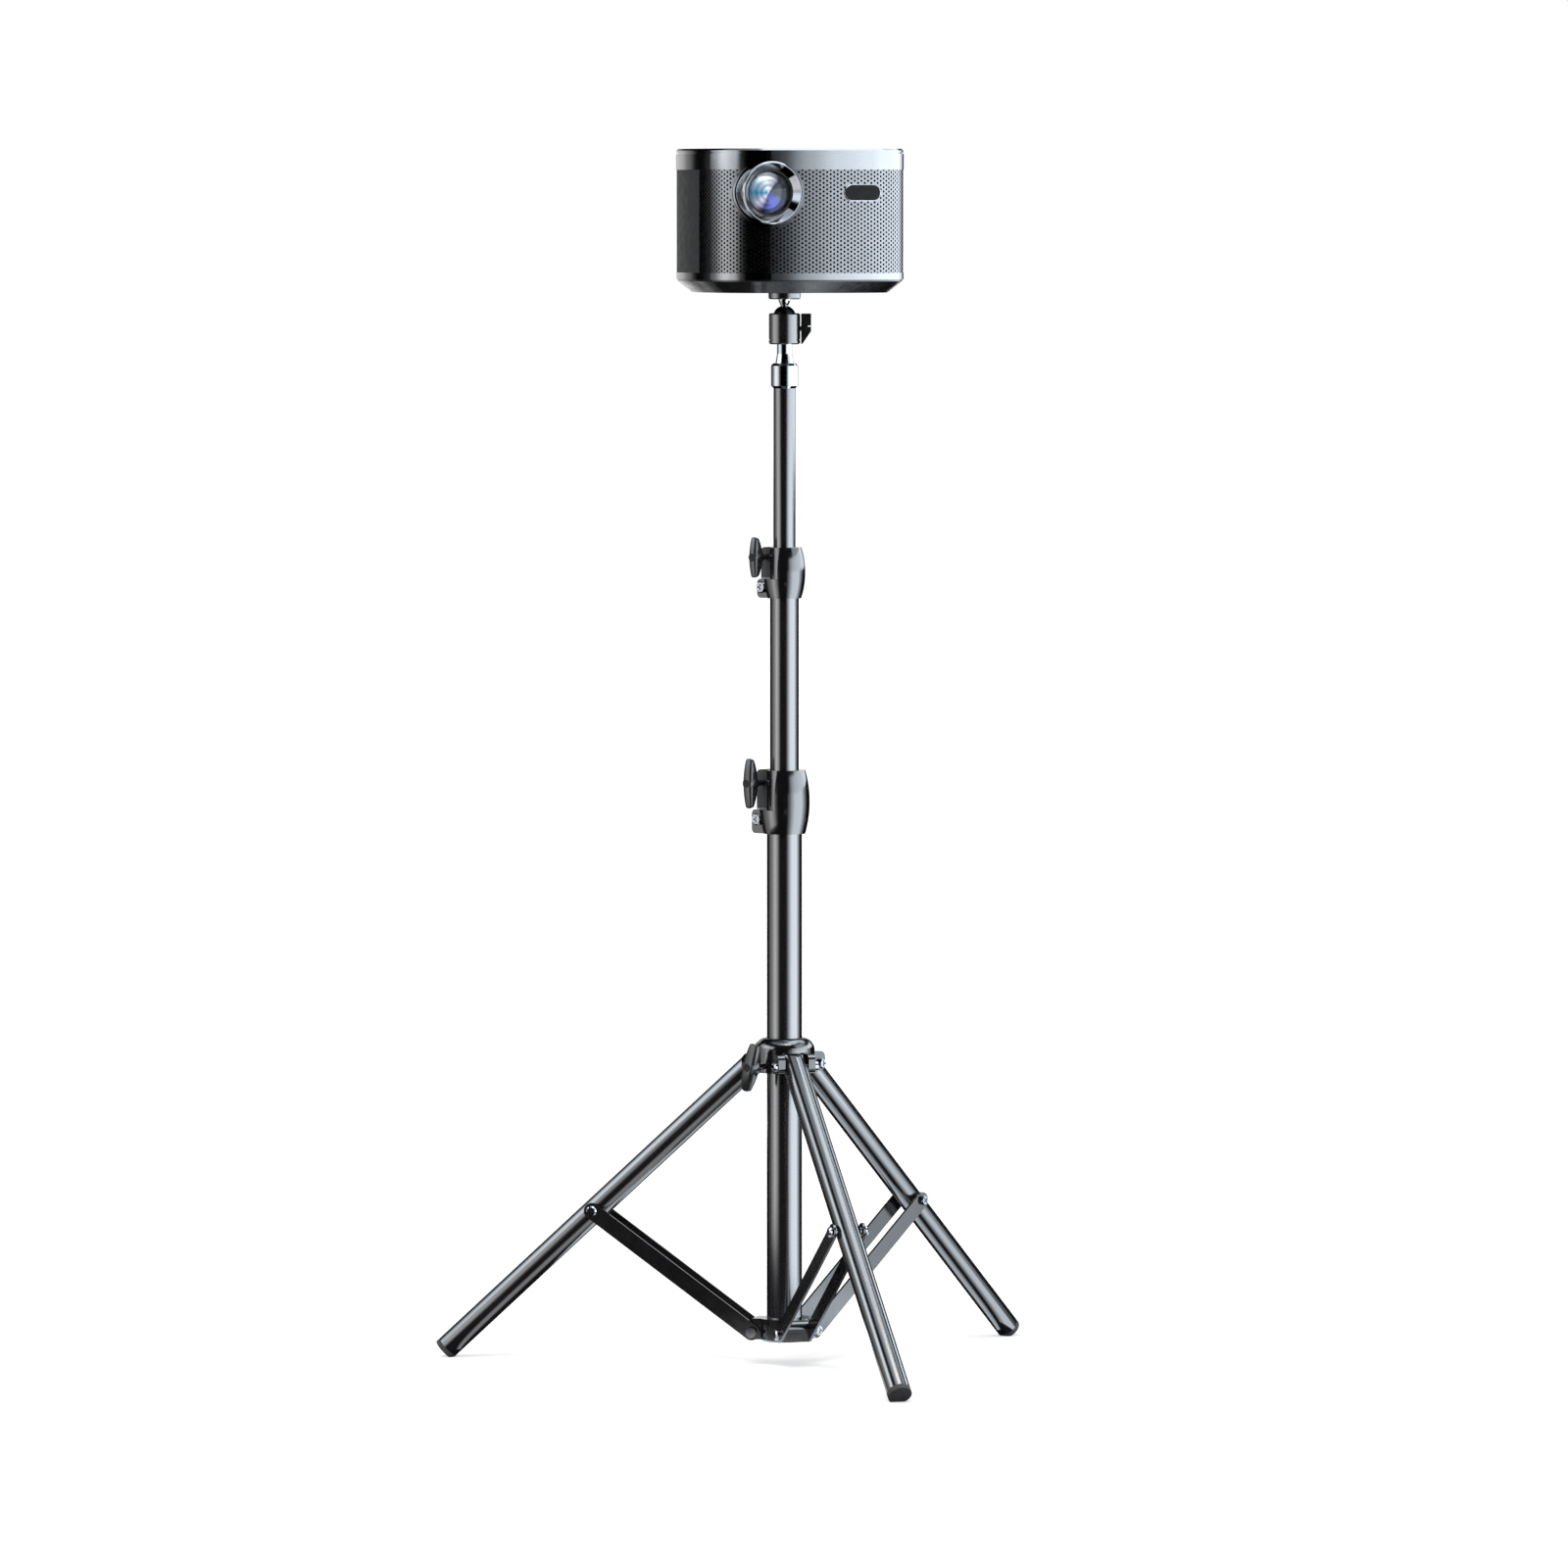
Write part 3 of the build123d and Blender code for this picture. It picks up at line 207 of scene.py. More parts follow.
class Outline:
    """Front half of the projector's rounded outline at an inset, by arc length from its middle."""

    def __init__(self, inset):
        low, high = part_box("upper_trim_band")
        self.middle = (low.y + high.y) / 2
        self.side = PROJECTOR_SIDE_RADIUS - inset
        self.corner = PROJECTOR_CORNER - inset
        self.reach = PROJECTOR_SIDE_RADIUS - PROJECTOR_WIDTH / 2
        gap = PROJECTOR_SIDE_RADIUS - PROJECTOR_CORNER
        self.inner = (sqrt(2 * gap ** 2 - self.reach ** 2) - self.reach) / 2
        self.bow = asin(self.inner / gap)
        self.front_length = self.side * self.bow
        self.corner_length = self.corner * (pi / 2 - 2 * self.bow)

    def at(self, length):
        """Point and outward normal in plan at an arc length, positive to the right."""
        sign = 1 if length > 0 else -1
        along = abs(length)
        if along <= self.front_length:
            angle = along / self.side
            centre, radius = (0, self.reach), self.side
        elif along <= self.front_length + self.corner_length:
            angle = self.bow + (along - self.front_length) / self.corner
            centre, radius = (self.inner, -self.inner), self.corner
        else:
            angle = pi / 2 - self.bow + (along - self.front_length - self.corner_length) / self.side
            centre, radius = (-self.reach, 0), self.side
        normal = (sign * sin(angle), -cos(angle))
        x = sign * centre[0] + radius * normal[0]
        return (x, self.middle + centre[1] + radius * normal[1]), normal

    def length_at_x(self, x):
        """Arc length on the front or its corners at a distance from the middle."""
        sign = 1 if x > 0 else -1
        if abs(x) <= self.side * sin(self.bow):
            return sign * self.side * asin(abs(x) / self.side)
        angle = asin(min(1.0, (abs(x) - self.inner) / self.corner))
        return sign * (self.front_length + (angle - self.bow) * self.corner)

    def length_at_y(self, y):
        """Arc length on a side at a place between the front corner and the side's middle."""
        turn = asin((self.middle - y) / self.side)
        return self.front_length + self.corner_length + (self.bow - turn) * self.side


# Grille


def nearest_in_sensor(x):
    """Nearest place to a point on the sensor window's middle line."""
    return min(max(x, SENSOR_CENTRE.x - SENSOR_HALF_LINE), SENSOR_CENTRE.x + SENSOR_HALF_LINE)


def depth_in_lens(x, z):
    """How far inside the lens opening a point of the front lies."""
    return LENS_OPENING_R - hypot(x - LENS_CENTRE.x, z - LENS_CENTRE.z)


def depth_in_sensor(x, z):
    """How far inside the sensor window a point of the front lies."""
    return SENSOR_R + FLANGE_GAP - hypot(x - nearest_in_sensor(x), z - SENSOR_CENTRE.z)


def pushed_out(x, z):
    """Point of the front moved out of the lens opening or the sensor window to its rim."""
    deep = depth_in_lens(x, z)
    if deep > 0:
        away = Vector((x - LENS_CENTRE.x, z - LENS_CENTRE.z)).normalized() * deep
        return x + away.x, z + away.y
    deep = depth_in_sensor(x, z)
    if deep > 0:
        away = Vector((x - nearest_in_sensor(x), z - SENSOR_CENTRE.z)).normalized() * deep
        return x + away.x, z + away.y
    return x, z


class GrilleSheet:
    """Perforated sheet laid out in arc length and height, then bent round the projector's front."""

    def __init__(self):
        low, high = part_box("grille_wrap")
        self.outline = Outline(GRILLE_INSET)
        self.end = self.outline.length_at_y(high.y)
        self.foot, self.top = low.z, high.z
        self.vertices = []
        self.faces = []
        self.known = {}

    def corner(self, length, height):
        """Index of the vertex at a place on the sheet, kept inside its edges and out of its openings."""
        length = min(max(length, -self.end), self.end)
        height = min(max(height, self.foot), self.top)
        (x, _), _ = self.outline.at(length)
        moved_x, moved_z = pushed_out(x, height)
        if (moved_x, moved_z) != (x, height):
            length, height = self.outline.length_at_x(moved_x), moved_z
        key = (round(length / MM, 3), round(height / MM, 3))
        if key not in self.known:
            self.known[key] = len(self.vertices)
            self.vertices.append((length, height))
        return self.known[key]

    def face(self, corners):
        """Add a face unless its corners have run together at an edge."""
        kept = [c for i, c in enumerate(corners) if c != corners[i - 1]]
        if len(set(kept)) > 2:
            self.faces.append(kept)

    def cell(self, length, height):
        """One six-sided cell of the sheet, with a round hole where it is clear of the openings."""
        (x, _), _ = self.outline.at(min(max(length, -self.end), self.end))
        room = -max(depth_in_lens(x, height), depth_in_sensor(x, height))
        if room < -CELL_REACH:
            return
        apothem = HOLE_PITCH / 2
        outer = []
        hole = []
        for step in range(HOLE_SIDES):
            angle = 2 * pi * step / HOLE_SIDES
            to_side = (angle + pi / 2 + CELL_SECTOR / 2) % CELL_SECTOR - CELL_SECTOR / 2
            reach = apothem / cos(to_side)
            outer.append(self.corner(length + reach * cos(angle), height + reach * sin(angle)))
            hole.append((length + HOLE_D / 2 * cos(angle), height + HOLE_D / 2 * sin(angle)))
        if room < HOLE_D / 2 + HOLE_MARGIN:
            self.face(outer)
            return
        ring = [self.corner(*place) for place in hole]
        for step in range(HOLE_SIDES):
            after = (step + 1) % HOLE_SIDES
            self.face([outer[step], outer[after], ring[after], ring[step]])

    def bent(self):
        """Bend the sheet round the outline and give it its thickness."""
        column_pitch = HOLE_PITCH * sqrt(3) / 2
        columns = int(self.end / column_pitch) + 1
        rows = int((self.top - self.foot) / HOLE_PITCH) + 2
        for column in range(-columns, columns + 1):
            shift = HOLE_PITCH / 2 if column % 2 else 0
            for row in range(rows):
                self.cell(column * column_pitch, self.foot + row * HOLE_PITCH + shift)
        outer, inner = [], []
        for length, height in self.vertices:
            (x, y), normal = self.outline.at(length)
            outer.append((x, y, height))
            inner.append((x - normal[0] * GRILLE_THICKNESS, y - normal[1] * GRILLE_THICKNESS, height))
        return self.thickened(outer, inner)

    def thickened(self, outer, inner):
        """Both sides of the sheet and the walls of its holes and edges, as one mesh."""
        count = len(outer)
        faces = [tuple(face) for face in self.faces]
        faces += [tuple(index + count for index in reversed(face)) for face in self.faces]
        edges = {}
        for face in self.faces:
            for start, end in zip(face, face[1:] + face[:1]):
                edges[(start, end)] = True
        for start, end in edges:
            if (end, start) not in edges:
                faces.append((end, start, start + count, end + count))
        return mesh_from("grille_perforated", outer + inner, faces)


# Lens and sensor


def dome_profile(radius, bulge, edge_forward):
    """Half profile of a dome that bulges forward by a height over its edge."""
    sphere = (radius ** 2 + bulge ** 2) / (2 * bulge)
    widest = asin(radius / sphere)
    points = []
    for step in range(DOME_STEPS + 1):
        angle = widest * (1 - step / DOME_STEPS)
        out = max(sphere * sin(angle), DOME_POLE_R)
        points.append((out, edge_forward + bulge - sphere * (1 - cos(angle))))
    return points


def lens_inside():
    """Coated rear element and the stepped baffle round it, behind the front glass."""
    low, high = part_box("lens_glass")
    axis = Vector(((low.x + high.x) / 2, high.y, (low.z + high.z) / 2))
    element_edge = -REAR_ELEMENT_DEPTH
    dome = dome_profile(REAR_ELEMENT_R, REAR_ELEMENT_BULGE, element_edge)
    element = turned("lens_rear_element", dome, axis)
    profile = []
    for step in range(BAFFLE_STEPS):
        start = BAFFLE_R + (REAR_ELEMENT_R - BAFFLE_R) * step / BAFFLE_STEPS
        end = BAFFLE_R + (REAR_ELEMENT_R - BAFFLE_R) * (step + 1) / BAFFLE_STEPS
        forward = element_edge * (step + 1) / BAFFLE_STEPS
        profile += [(start, forward), (end, forward)]
    baffle = turned("lens_baffle", profile, axis)
    return element, baffle


def sensor_rim():
    """Thin bright rim round the sensor window, on the bowed front."""
    outline = Outline(-SENSOR_RIM_PROUD)
    path = []
    for side in (1, -1):
        centre = SENSOR_CENTRE.x + side * SENSOR_HALF_LINE
        first = -side * pi / 2
        for step in range(RIM_TURN_STEPS + 1):
            angle = first + pi * step / RIM_TURN_STEPS
            x, z = centre + SENSOR_R * cos(angle), SENSOR_CENTRE.z + SENSOR_R * sin(angle)
            path.append((x, z, cos(angle), sin(angle)))
    vertices = []
    for x, z, out_x, out_z in path:
        for step in range(RIM_SIDES):
            angle = 2 * pi * step / RIM_SIDES
            aside = SENSOR_RIM * cos(angle)
            (px, py), normal = outline.at(outline.length_at_x(x + out_x * aside))
            forward = SENSOR_RIM * sin(angle)
            vertices.append((px + normal[0] * forward, py + normal[1] * forward, z + out_z * aside))
    faces = ring_faces(len(path), RIM_SIDES, closed=True)
    return mesh_from("sensor_rim", vertices, faces, RIM_SHARP_ANGLE)


# Wing knobs


def rounded(value):
    """Power that turns a circle's coordinate into a rounded square's."""
    return abs(value) ** (2 / KNOB_SQUARENESS) * (1 if value > 0 else -1)


class WingKnob:
    """Wing knob with a bowed face, tapered wings, a conical hub and a socket, where its plain node is."""

    def __init__(self, node):
        self.node = node
        joint = joint_of(KNOB_BODIES[node])
        self.axis = Vector(joint["axis"]).normalized()
        self.origin = Vector(joint["pos_m"])
        level = Vector((0, 0, 1)).cross(self.axis)
        places = [vertex.co - self.origin for vertex in frame["nodes"][node].data.vertices]
        spread = [(place.dot(level), place.z) for place in places]
        lean = atan2(2 * sum(t * v for t, v in spread), sum(t * t - v * v for t, v in spread)) / 2
        self.wing = level * cos(lean) + Vector((0, 0, 1)) * sin(lean)
        self.aside = self.wing.cross(self.axis)
        self.face = max(place.dot(self.axis) for place in places)
        self.half_span = max(place.dot(self.wing) for place in places)
        self.half_width = max(place.dot(self.aside) for place in places)
        self.vertices = []
        self.faces = []

    def add_rings(self, rings):
        """Close a row of rings of places along wing, aside and axis into a shell with end caps."""
        start = len(self.vertices)
        sides = len(rings[0])
        for ring in rings:
            for along_wing, along_side, forward in ring:
                place = self.wing * along_wing + self.aside * along_side + self.axis * forward
                self.vertices.append(self.origin + place)
        self.faces += ring_faces(len(rings), sides, start)
        self.faces.append(tuple(range(start + sides - 1, start - 1, -1)))
        last = start + (len(rings) - 1) * sides
        self.faces.append(tuple(range(last, last + sides)))

    def wings(self):
        """Both wings as one loft of rounded sections from tip to tip."""
        rings = []
        for row in range(KNOB_SECTIONS + 1):
            share = -cos(pi * row / KNOB_SECTIONS)
            reach = 1 - abs(share)
            tip = min(1.0, KNOB_TIP_START + sqrt(reach / KNOB_TIP_ROUND))
            swell = 1 - (1 - reach) ** 2
            outer = self.face - KNOB_BOW * self.half_span * share * share
            depth = (KNOB_TIP_DEPTH + (KNOB_ROOT_DEPTH - KNOB_TIP_DEPTH) * swell) * tip
            width_share = KNOB_TIP_SHARE + (KNOB_ROOT_SHARE - KNOB_TIP_SHARE) * swell
            width = self.half_width * width_share * tip
            ring = []
            for step in range(KNOB_SECTION_SIDES):
                turn = 2 * pi * step / KNOB_SECTION_SIDES
                ring.append((self.half_span * share, width * rounded(cos(turn)),
                             outer - depth / 2 + depth / 2 * rounded(sin(turn))))
            rings.append(ring)
        self.add_rings(rings)

    def turned_shell(self, profile):
        """Closed shell of revolution about the knob's axis, from (radius, forward) pairs."""
        rings = []
        for radius, forward in profile:
            ring = []
            for step in range(KNOB_SECTION_SIDES):
                turn = 2 * pi * step / KNOB_SECTION_SIDES
                ring.append((radius * cos(turn), radius * sin(turn), forward))
            rings.append(ring)
        self.add_rings(rings)

    def made(self):
        """Wings and hub as one mesh."""
        self.wings()
        hub = self.half_width * KNOB_HUB_SHARE
        root = self.face - KNOB_ROOT_DEPTH
        cone = [(hub * wider, root + KNOB_ROOT_DEPTH * rise) for wider, rise in KNOB_HUB_CONE]
        self.turned_shell([
            (hub * KNOB_HUB_END_SHARE, root), (hub, root + KNOB_HUB_CHAMFER), *cone,
            (hub * KNOB_HUB_END_SHARE, self.face - KNOB_HUB_SUNK),
        ])
        return mesh_from(self.node + "_wings", self.vertices, self.faces, KNOB_SHARP_ANGLE)

    def painted_shade_socket(self):
        """Dark, shallow socket at the middle of the face, where the screw ends; its matt black is painted
        shade for the screw's hole.
        """
        self.vertices, self.faces = [], []
        outer = SOCKET_R + SOCKET_LIP
        back, rim = self.face - SOCKET_SUNK, self.face + SOCKET_PROUD
        self.turned_shell([
            (outer, back), (outer, rim - SOCKET_PROUD), (SOCKET_R + SOCKET_LIP / 2, rim),
            (SOCKET_R, rim), (SOCKET_R * SOCKET_FLOOR_SHARE, self.face),
        ])
        return mesh_from(self.node + "_socket", self.vertices, self.faces, SOCKET_SHARP_ANGLE)


# Materials


# Levels that noise mostly stays between
NOISE_LOW = 0.3
NOISE_HIGH = 0.7


class Finish:
    """Procedural surface built round one Principled shader, in object coordinates."""

    def __init__(self, name, roughness, metallic=0.0, ior=1.5):
        self.material = bpy.data.materials.new(name)
        self.material.use_nodes = True
        self.tree = self.material.node_tree
        self.shader = self.tree.nodes["Principled BSDF"]
        self.shader.inputs["Roughness"].default_value = roughness
        self.shader.inputs["Metallic"].default_value = metallic
        self.shader.inputs["IOR"].default_value = ior
        self.place = self.node("ShaderNodeTexCoord").outputs["Object"]

    def node(self, kind, **settings):
        """New node of a kind, with its settings."""
        made = self.tree.nodes.new(kind)
        for name, value in settings.items():
            setattr(made, name, value)
        return made

    def link(self, source, target):
        """Connect an output to an input."""
        self.tree.links.new(source, target)

    def split(self, vector):
        """Outputs X, Y and Z of a vector."""
        parts = self.node("ShaderNodeSeparateXYZ")
        self.link(vector, parts.inputs["Vector"])
        return parts.outputs

    def vector_math(self, operation, source, constant=(0, 0, 0)):
        """Outputs of an operation on a vector and a constant one."""
        result = self.node("ShaderNodeVectorMath", operation=operation)
        self.link(source, result.inputs[0])
        result.inputs[1].default_value = constant
        return result.outputs

    def math(self, operation, *sources):
        """Output of an operation on numbers and other outputs."""
        result = self.node("ShaderNodeMath", operation=operation)
        for target, source in zip(result.inputs, sources):
            if isinstance(source, float):
                target.default_value = source
            else:
                self.link(source, target)
        return result.outputs["Value"]

    def noise(self, scale, detail=4.0, stretch=(1, 1, 1)):
        """Noise pattern in object space, drawn out along an axis by a small stretch factor."""
        mapping = self.node("ShaderNodeMapping")
        mapping.inputs["Scale"].default_value = stretch
        self.link(self.place, mapping.inputs["Vector"])
        pattern = self.node("ShaderNodeTexNoise")
        pattern.inputs["Scale"].default_value = scale
        pattern.inputs["Detail"].default_value = detail
        self.link(mapping.outputs["Vector"], pattern.inputs["Vector"])
        return pattern.outputs["Fac"]

    def ranged(self, source, low, high, start=NOISE_LOW, end=NOISE_HIGH):
        """Carry what lies between a start and an end, as a pattern does, into a range of values."""
        spread = self.node("ShaderNodeMapRange")
        spread.inputs["From Min"].default_value = start
        spread.inputs["From Max"].default_value = end
        spread.inputs["To Min"].default_value = low
        spread.inputs["To Max"].default_value = high
        self.link(source, spread.inputs["Value"])
        return spread.outputs["Result"]

    def colours(self, source, dark, light):
        """Colour that runs from a dark to a light tone with a pattern."""
        mix = self.node("ShaderNodeMix", data_type="RGBA")
        mix.inputs["A"].default_value = (*dark, 1)
        mix.inputs["B"].default_value = (*light, 1)
        self.link(source, mix.inputs["Factor"])
        return mix.outputs["Result"]

    def paint(self, colour, mottle=0.12, scale=60.0, stretch=(1, 1, 1)):
        """Base colour with a soft variation."""
        dark = [channel * (1 - mottle) for channel in colour]
        light = [min(1.0, channel * (1 + mottle)) for channel in colour]
        fac = self.ranged(self.noise(scale, stretch=stretch), 0, 1)
        self.link(self.colours(fac, dark, light), self.shader.inputs["Base Color"])
        return self

    def vary_roughness(self, low, high, scale=90.0, stretch=(1, 1, 1)):
        """Roughness with a soft variation."""
        pattern = self.noise(scale, stretch=stretch)
        self.link(self.ranged(pattern, low, high), self.shader.inputs["Roughness"])
        return self

    def grain(self, scale, height, strength=0.3, stretch=(1, 1, 1)):
        """Fine raised grain."""
        bump = self.node("ShaderNodeBump")
        bump.inputs["Strength"].default_value = strength
        bump.inputs["Distance"].default_value = height
        self.link(self.noise(scale, detail=2.0, stretch=stretch), bump.inputs["Height"])
        self.link(bump.outputs["Normal"], self.shader.inputs["Normal"])
        return self


BLACK_IOR = 2.2
COLLAR_POLISH = (0.1, 0.15)
COLLAR_PATTERN = 200.0
CHROME_TONE = (0.37, 0.38, 0.4)
BALL_TONE = (0.05, 0.05, 0.055)
BALL_EDGE = 0.3 * MM

# Stretch of a pattern along a tube or round it
ALONG = (1, 1, 0.05)
ROUND = (0.05, 0.05, 1)


def tube_black():
    made = Finish("tube_black", roughness=0.14, ior=BLACK_IOR)
    made.paint((0.012, 0.012, 0.014), mottle=0.2, scale=40.0, stretch=ALONG)
    made.vary_roughness(0.11, 0.17, scale=120.0, stretch=ALONG)
    return made.grain(2500.0, height=0.01 * MM, strength=0.03)


def bar_black():
    made = Finish("bar_black", roughness=0.17, ior=1.9)
    made.paint((0.008, 0.008, 0.009), mottle=0.2, scale=80.0)
    made.vary_roughness(0.14, 0.2, scale=150.0)
    return made.grain(1800.0, height=0.01 * MM, strength=0.05)


def polished_collar(name):
    """Black of the collars, before its roughness is varied."""
    made = Finish(name, roughness=0.12, ior=1.95)
    made.paint((0.006, 0.006, 0.007), mottle=0.15, scale=120.0)
    return made.grain(1500.0, height=0.01 * MM, strength=0.04)


def collar_black():
    return polished_collar("collar_black").vary_roughness(*COLLAR_POLISH, scale=COLLAR_PATTERN)


# Clamp ears: start and soft edge, share of the drop from screw to foot that they take up, added roughness
EAR_START = 9.0 * MM
EAR_EDGE = 1.0 * MM
EAR_DROP = 0.52
EAR_MATT = 0.7


def clamp_black(node, body):
    """Polished collar whose clamp ears beside the knob are matt as cast."""
    made = polished_collar(node + "_black")
    screw = Vector(joint_of(body)["pos_m"])
    outward = Vector((screw.x, screw.y, 0)).normalized()
    away = made.vector_math("DOT_PRODUCT", made.place, outward)["Value"]
    lobe_top = screw.z - (screw.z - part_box(node)[0].z) * EAR_DROP
    beside = made.ranged(away, 0, 1, EAR_START, EAR_START + EAR_EDGE)
    over_lobe = made.ranged(made.split(made.place)["Z"], 0, 1, lobe_top, lobe_top + EAR_EDGE)
    polish = made.ranged(made.noise(COLLAR_PATTERN), *COLLAR_POLISH)
    matt = made.math("MULTIPLY_ADD", made.math("MULTIPLY", beside, over_lobe), EAR_MATT, polish)
    made.link(matt, made.shader.inputs["Roughness"])
    return made


def knob_black():
    made = Finish("knob_black", roughness=0.26, ior=1.62)
    made.paint((0.012, 0.012, 0.013), mottle=0.2, scale=150.0)
    made.vary_roughness(0.2, 0.3, scale=250.0)
    return made.grain(1600.0, height=0.03 * MM, strength=0.15)


def chrome():
    made = Finish("chrome", roughness=0.1, metallic=1.0)
    made.paint(CHROME_TONE, mottle=0.05, scale=90.0, stretch=ROUND)
    made.vary_roughness(0.06, 0.14, scale=200.0, stretch=ROUND)
    return made


def bezel_steel():
    made = Finish("bezel_steel", roughness=0.1, metallic=1.0)
    made.paint((0.24, 0.245, 0.26), mottle=0.05, scale=90.0)
    made.vary_roughness(0.06, 0.11, scale=200.0)
    return made


def head_black():
    made = Finish("head_black", roughness=0.25, ior=BLACK_IOR)
    made.paint((0.014, 0.014, 0.016), mottle=0.15, scale=150.0)
    made.vary_roughness(0.12, 0.18, scale=300.0, stretch=ROUND)
    return made.grain(2500.0, height=0.01 * MM, strength=0.04)


def foot_rubber():
    made = Finish("foot_rubber", roughness=0.7)
    made.paint((0.045, 0.045, 0.047), mottle=0.25, scale=200.0)
    made.vary_roughness(0.6, 0.8, scale=300.0)
    return made.grain(1400.0, height=0.1 * MM, strength=0.5)


def liner_black():
    made = Finish("liner_black", roughness=0.8)
    made.paint((0.008, 0.008, 0.009), mottle=0.3, scale=300.0)
    return made.grain(1800.0, height=0.1 * MM, strength=0.4)


def trim_silver():
    made = Finish("trim_silver", roughness=0.17, metallic=1.0)
    made.paint((0.22, 0.222, 0.226), mottle=0.05, scale=150.0, stretch=(1, 1, 12))
    made.vary_roughness(0.09, 0.13, scale=220.0, stretch=(1, 1, 8))
    return made.grain(1200.0, height=0.02 * MM, strength=0.08, stretch=(0.1, 0.1, 3))


def grille_silver():
    made = Finish("grille_silver", roughness=0.2, metallic=1.0)
    made.paint((0.16, 0.162, 0.166), mottle=0.08, scale=200.0)
    made.vary_roughness(0.11, 0.16, scale=260.0)
    return made.grain(1500.0, height=0.01 * MM, strength=0.05)


def base_black():
    made = Finish("base_black", roughness=0.18, ior=1.65)
    made.paint((0.01, 0.01, 0.011), mottle=0.2, scale=100.0)
    made.vary_roughness(0.14, 0.24, scale=160.0)
    return made.grain(1600.0, height=0.02 * MM, strength=0.08)


def cover_black():
    made = Finish("cover_black", roughness=0.5, ior=1.35)
    made.paint((0.012, 0.012, 0.012), mottle=0.2, scale=120.0)
    made.vary_roughness(0.44, 0.56, scale=200.0)
    return made.grain(1500.0, height=0.02 * MM, strength=0.1)


def lens_glass():
    made = Finish("lens_glass", roughness=0.02, ior=1.32)
    made.shader.inputs["Transmission Weight"].default_value = 1.0
    made.shader.inputs["Specular Tint"].default_value = (0.85, 0.92, 1.0, 1)
    made.paint((0.93, 0.95, 0.99), mottle=0.02, scale=60.0)
    return made


def sensor_black():
    made = Finish("sensor_black", roughness=0.2, ior=1.16)
    made.paint((0.012, 0.012, 0.013), mottle=0.3, scale=150.0)
    return made.grain(900.0, height=0.02 * MM, strength=0.1)


# Painted reflections on the coated element, as tints by their share of a turn round the lens's axis: cyan,
# pale rose and deep blue reflections, painted white highlights, and black
PAINTED_REFLECTION_TINTS = (
    (0.00, (0.02, 0.3, 0.5)),
    (0.06, (0.3, 0.45, 0.6)),
    (0.12, (0.92, 0.8, 0.88)),
    (0.17, (0.5, 0.42, 0.66)),
    (0.21, (0.01, 0.015, 0.08)),
    (0.30, (0.03, 0.06, 0.5)),
    (0.39, (0.012, 0.02, 0.25)),
    (0.46, (0.001, 0.002, 0.006)),
    (0.63, (0.003, 0.003, 0.01)),
    (0.68, (0.6, 0.6, 0.66)),
    (0.78, (0.95, 0.96, 0.98)),
    (0.88, (0.5, 0.68, 0.78)),
    (1.00, (0.02, 0.3, 0.5)),
)
# Painted shade in rings on the coated element: pitch of the rings and level of their darkest shade
PAINTED_RING_PITCH = 3.6 * MM
PAINTED_RING_SHADE = 0.55


def painted_reflection_tint(made, offset):
    """Painted reflection tint that turns round the lens's axis, through cyan, pale rose, deep blue and
    black.
    """
    parts = made.split(offset)
    turn = made.math("ARCTAN2", parts["Z"], parts["X"])
    tints = made.node("ShaderNodeValToRGB")
    elements = tints.color_ramp.elements
    first, *between, last = PAINTED_REFLECTION_TINTS
    for element, (place, tint) in zip(elements, (first, last)):
        element.position = place
        element.color = (*tint, 1)
    for place, tint in between:
        elements.new(place).color = (*tint, 1)
    made.link(made.ranged(turn, 0, 1, -pi, pi), tints.inputs["Fac"])
    return tints.outputs["Color"]


def painted_ring_shade(made, offset):
    """Painted shade that rises and falls in rings round the lens's axis."""
    flat = made.vector_math("MULTIPLY", offset, (1, 0, 1))["Vector"]
    radius = made.vector_math("LENGTH", flat)["Value"]
    wave = made.math("COSINE", made.math("MULTIPLY", radius, 2 * pi / PAINTED_RING_PITCH))
    return made.ranged(wave, PAINTED_RING_SHADE, 1, -1, 1)


def lens_coating_painted_reflections():
    """Coat of the rear element, with painted reflections tinted round its axis and painted shade in rings.
    """
    made = Finish("lens_coating_painted_reflections", roughness=0.2, metallic=0.25)
    offset = made.vector_math("SUBTRACT", made.place, LENS_CENTRE)["Vector"]
    coat = made.node("ShaderNodeMix", data_type="RGBA", blend_type="MULTIPLY")
    coat.inputs["Factor"].default_value = 1.0
    made.link(painted_reflection_tint(made, offset), coat.inputs["A"])
    made.link(painted_ring_shade(made, offset), coat.inputs["B"])
    made.link(coat.outputs["Result"], made.shader.inputs["Base Color"])
    return made


def ball_and_stud():
    """Black ball under a chrome stud, on one turned piece."""
    made = Finish("ball_and_stud", roughness=0.12, metallic=1.0)
    low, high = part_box("ball_stud")
    ball_top = low.z + (high.x - low.x)
    above_ball = made.ranged(made.split(made.place)["Z"], 0, 1, ball_top - BALL_EDGE, ball_top)
    tone = made.colours(above_ball, BALL_TONE, CHROME_TONE)
    made.link(tone, made.shader.inputs["Base Color"])
    return made.vary_roughness(0.09, 0.16, scale=200.0)


SLOT_FINISHES = (
    tube_black, bar_black, collar_black, knob_black, chrome, head_black, foot_rubber, liner_black,
    trim_silver, grille_silver, base_black, lens_glass, sensor_black,
)


def dress(piece, finish):
    """Give a piece one finish in all its slots."""
    if not piece.data.materials:
        piece.data.materials.append(finish.material)
    for slot in piece.material_slots:
        slot.material = finish.material


# Studio


